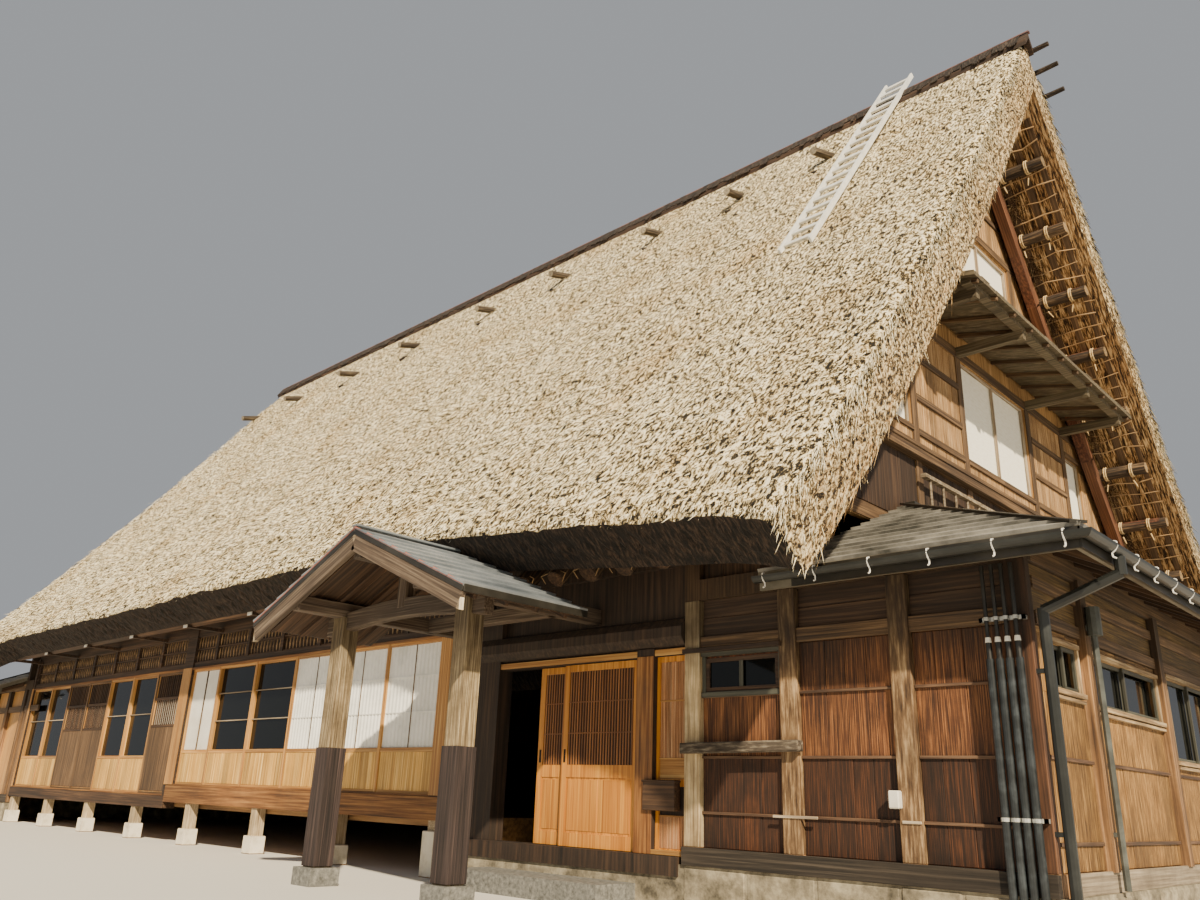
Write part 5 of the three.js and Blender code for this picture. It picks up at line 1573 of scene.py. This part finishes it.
wall_stones = {
    "right": stones("front", 8.01, 10.9) + stones("right", 0.05, 9.83),
    "left": stones("front", -10.9, -8.8) + stones("left", 0.05, 9.83),
    "rear": stones("rear", -10.9, 10.9),
}
for name, laid in wall_stones.items():
    make(f"foundation_stones_{name}", laid, field_stone, bevel=0.014)

# %% [markdown]
# ## Level and raking timbers
# A solid of the frame carries one finish, so its posts, rails and plates all have their streaks one way.
# Grain that crosses a timber reads as wrong at once. So sills, rails, plates and raking rafters get covers
# that stand two or three millimetres proud and whose grain follows them. The sill of the front is nearly
# black from rain, the end one is bleached.

# %% Sills, rails and plates
sill_z = (0.3435, 0.482)
front_sill = on_wall("front", (8.005, 10.952, *sill_z, 0.0, 0.063))
front_sill += flipped(on_wall("front", (8.69, 10.952, *sill_z, 0.0, 0.063)), 0)
end_sill = [on_wall(wall, (0.15, 9.72, *sill_z, -0.01, 0.013))[0] for wall in ("right", "left")]
end_sill += on_wall("rear", (-10.952, 10.952, *sill_z, 0.0, 0.063))
front_rails = on_wall("front", *[(a0 - 0.004, a1 + 0.004, 2.048, 2.162, -0.02, 0.013) for a0, a1 in bays])
front_rails += flipped(front_rails, 0)
plates_level = []
for wall in ("front", "rear"):
    plates_level += on_wall(wall, *[(a, a + 1.8, 2.482, 2.6, -0.01, 0.033) for a in (9.1, -10.9)])
for wall in ("right", "left"):
    plates_level += on_wall(wall, (0.1, 9.78, 2.482, 2.66, -0.05, 0.003))
plates_level += on_wall("rear", (-9.0, 9.0, 3.052, 3.248, -0.01, 0.033))
black_sill = wood("rain_blackened_sill", "#15110E #2E2822 #51483E", 18, 900, 0.85, worn=0.5)
bleached_sill = wood("bleached_end_sill", "#6E6151 #958773 #B7AA94", 18, 900, 0.85, worn=0.5)
make("front_sill_faces", front_sill, black_sill)
make("end_sill_faces", end_sill, bleached_sill)
make("front_rail_faces", front_rails, brown_post)
make("level_plate_faces", plates_level, brown_post)

# %% Raking rafters and the ledge of each gable
rakes = []
for k in range(4):
    rise = (under[k, 1] - under[k + 1, 1]) / (under[k, 0] - under[k + 1, 0])
    above_ledge = next(y for y in np.arange(0, 5, 0.01) if under_straw(y, 0.215) > 3.8)
    ends = (max(under[k + 1, 0] - 0.02, above_ledge), under[k, 0] + 0.005)
    a, b = [beneath_straw(gable_x + 0.14, y, 0.215) for y in ends]
    rakes.append(beam(a, b, 0.136, 0.196, (0, -rise, 1)))
ledge = blocks(
    (gable_x - 0.01, gable_x + 0.078, 1.75, depth - 1.75, 4.298, 4.463),
    *[(gable_x + 0.078, gable_x + 0.092, 1.75, depth - 1.75, z, z + 0.05) for z in (4.3, 4.41)])
rake_red = wood("red_brown_raking_board", "#38200F #603A24 #8A5E40", 14, 900, worn=0.4)
make_ends(("rake_faces", both_sides(rakes), rake_red, "dark_wood"),
          ("gable_ledge", ledge, brown_post, "grey_wood"))

# %% [markdown]
# ## The porch's timbers
# The porch shows its joinery: posts, two long plates, a tie, a beam that grew in a curve, and short posts
# up to the ridge. The skins repeat the frame's sizes, so they take the place of its plain porch frame.

# %% Posts, plates, curved beam and bargeboards
porch_posts = blocks(*[(x - 0.09, x + 0.09, post_y - 0.09, post_y + 0.09, 0.15, 2.4) for x in post_x])
porch_level = blocks(
    *[(x - 0.065, x + 0.065, -2.07, back, 2.39, 2.531) for x, back in zip(post_x, (-0.022, 0.058))],
    (*post_x, -0.56, -0.46, 2.39, 2.531),
    (porch_x - 0.06, porch_x + 0.06, -2.07, -0.96, 2.76, 2.94))
steps = np.linspace(0, 1, 17)
curve_low = [(post_x[0] - 0.25 + 2.4 * t, 2.23 + 0.09 * math.sin(math.pi * t)) for t in steps]
curve_high = [(x, z + 0.17) for x, z in reversed(curve_low)]
porch_level += [plate(curve_low + curve_high, 1, post_y - 0.055, post_y + 0.055, run=0)]
porch_level += blocks(
    (porch_x - 0.06, porch_x + 0.06, post_y - 0.06, post_y + 0.06, 2.4, 2.78),
    (porch_x - 0.06, porch_x + 0.06, -0.57, -0.45, 2.48, 2.7))
lit_post = wood("weathered_porch_post", "#4E3E2B #94805F #CDBB96 #33271B", 14, 450, worn=0.85, painted_eave_shade=0.6)
porch_beam = wood("brown_porch_beam", "#2C231B #54463A #7E705F", 18, 900, worn=0.5)
posts_piece = make("porch_posts", porch_posts, lit_post, bevel=0.006)
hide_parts("porch_frame")
make("porch_beams", porch_level, porch_beam, bevel=0.006)
verge_boards, ceiling = [], []
for side in (-1, 1):
    y, z = porch_front + 0.0325, porch_top - 0.0605 - 0.075
    low = (porch_x + side * 1.578, y, z - 1.578 * porch_fall)
    verge_boards.append(beam((porch_x - side * 0.002, y, z), low, 0.051, 0.14))
    for k in range(9):
        y, z = porch_front + 0.13 + k * 0.145, porch_top - 0.0705
        low = (porch_x + side * 1.6, y, z - 1.58 * porch_fall)
        ceiling.append(beam((porch_x + side * 0.02, y, z), low, 0.141, 0.012 + 0.003 * (k % 2)))
make("porch_bargeboard_faces", verge_boards, porch_beam, bevel=0.004)
make("porch_ceiling_boards", ceiling, smoked_cedar)

# %% [markdown]
# ## Piers under the window wall
# The sill rests on short wooden posts, and each post on a pale lime-washed pier.

# %% Pier, post and sill skins
piers, pier_posts = [], []
for x in (-8.5, -6.68, -4.77, -2.86, -1.01, 0.9, 2.81, 4.65):
    pier_top, sill_bottom = 0.44 if x > 4 else 0.21, 0.459 if x < -1.75 else 0.547
    piers.append(block(x - 0.103, x + 0.103, -0.053, 0.153, 0.002, pier_top + 0.003))
    pier_posts.append(block(x - 0.068, x + 0.068, -0.013, 0.123, pier_top, sill_bottom - 0.001))
pale_stump = wood("pale_weathered_stump", "#7E6B50 #B09C7C #D3C3A6", 16, 300, 0.85, worn=0.5)
make("piers", piers, pale_pier, bevel=0.008)
make("pier_posts", pier_posts, pale_stump)
left_sill, right_sill = blocks(
    (-8.683, -1.797, -0.033, 0.153, 0.457, 0.628),
    (-1.804, 4.752, -0.033, 0.153, 0.545, 0.778))
make("sill_left_face", [left_sill], smoked_cedar, bevel=0.004)
make("sill_right_face", [right_sill], sill_cedar, bevel=0.004)

# %% [markdown]
# ## Ground, light and camera
# The house stands on a plain pale floor that isn't part of it. The sun stood high to the front right: the
# straw and the right end are lit, and the eave throws its shadow across the upper half of the front. One
# far lamp with a soft edge does that, and a pale sky fills the shadows. The camera stands where the
# photographer did, low by the right corner, tilted up and a little rolled. Its turn, tilt and roll were
# found by fitting the house's corners.

# %% Floor and sky
reach, sunk = 60, -0.002
floor_corners = [(x * reach, y * reach, sunk) for x, y in ((-1, -1), (1, -1), (1, 1), (-1, 1))]
floor_mesh = bpy.data.meshes.new("studio_floor")
floor_mesh.from_pydata(floor_corners, [], [(0, 1, 2, 3)])
floor = bpy.data.objects.new("studio_floor", floor_mesh)
bpy.context.scene.collection.objects.link(floor)
floor_paint, _, _ = surface("pale_studio_floor", 0.9, Base_Color=linear("#DAD7D0"))
floor_mesh.materials.append(floor_paint)
floor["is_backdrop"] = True

sky = bpy.data.worlds.new("pale_studio_sky")
bpy.context.scene.world = sky
sky.use_nodes = True
backdrop = sky.node_tree.nodes["Background"].inputs
backdrop["Color"].default_value, backdrop["Strength"].default_value = linear("#EEF2F7"), 0.42


# %% Sun lamp
def sun_lamp(name, azimuth, height, strength, spread, colour):
    """A far soft lamp. Azimuth 0 shines from the front and 90 from the right, in degrees."""
    light = bpy.data.lights.new(name, "SUN")
    light.energy, light.angle, light.color = strength, math.radians(spread), linear(colour)[:3]
    a, h = math.radians(azimuth), math.radians(height)
    source = Vector((math.sin(a) * math.cos(h), -math.cos(a) * math.cos(h), math.sin(h)))
    holder = bpy.data.objects.new(name, light)
    holder.rotation_mode = "QUATERNION"
    holder.rotation_quaternion = source.to_track_quat("Z", "Y")
    bpy.context.scene.collection.objects.link(holder)
    print(name, "shines from", [round(c, 2) for c in source])


sun_lamp("front_right_sun", azimuth=54.5, height=35.3, strength=8.6, spread=1.2, colour="#FFECCB")

# %% Camera at the photographer's place
yaw, tilt, roll = math.radians(44.0065), math.radians(19.7211), math.radians(2.17579)
forward = Vector((-math.sin(yaw) * math.cos(tilt), math.cos(yaw) * math.cos(tilt), math.sin(tilt)))
level = Vector((math.cos(yaw), math.sin(yaw), 0))
below = forward.cross(level)
right = level * math.cos(roll) - below * math.sin(roll)
lower = level * math.sin(roll) + below * math.cos(roll)
focal_px, frame_px = 970.38, 1200
photo_view = bpy.data.cameras.new("photo_view")
photo_view.sensor_width = 36
photo_view.lens = photo_view.sensor_width * focal_px / frame_px
photo_view.clip_end = 500
camera = bpy.data.objects.new("photo_view", photo_view)
axes = Matrix((right, -lower, -forward)).transposed()
eye = (13.335, -6.7 + front_y, 0.827)
camera.matrix_world = Matrix.Translation(eye) @ axes.to_4x4()
bpy.context.scene.collection.objects.link(camera)
bpy.context.scene.camera = camera
print("lens", round(photo_view.lens, 2), "mm")

# %% Print how far the pieces reach past the frame's box
bpy.context.view_layer.update()
low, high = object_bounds()
print("visual minus packed box, mm:", [round(1000 * d, 1) for d in (*(low - cad_low), *(high - cad_high))])
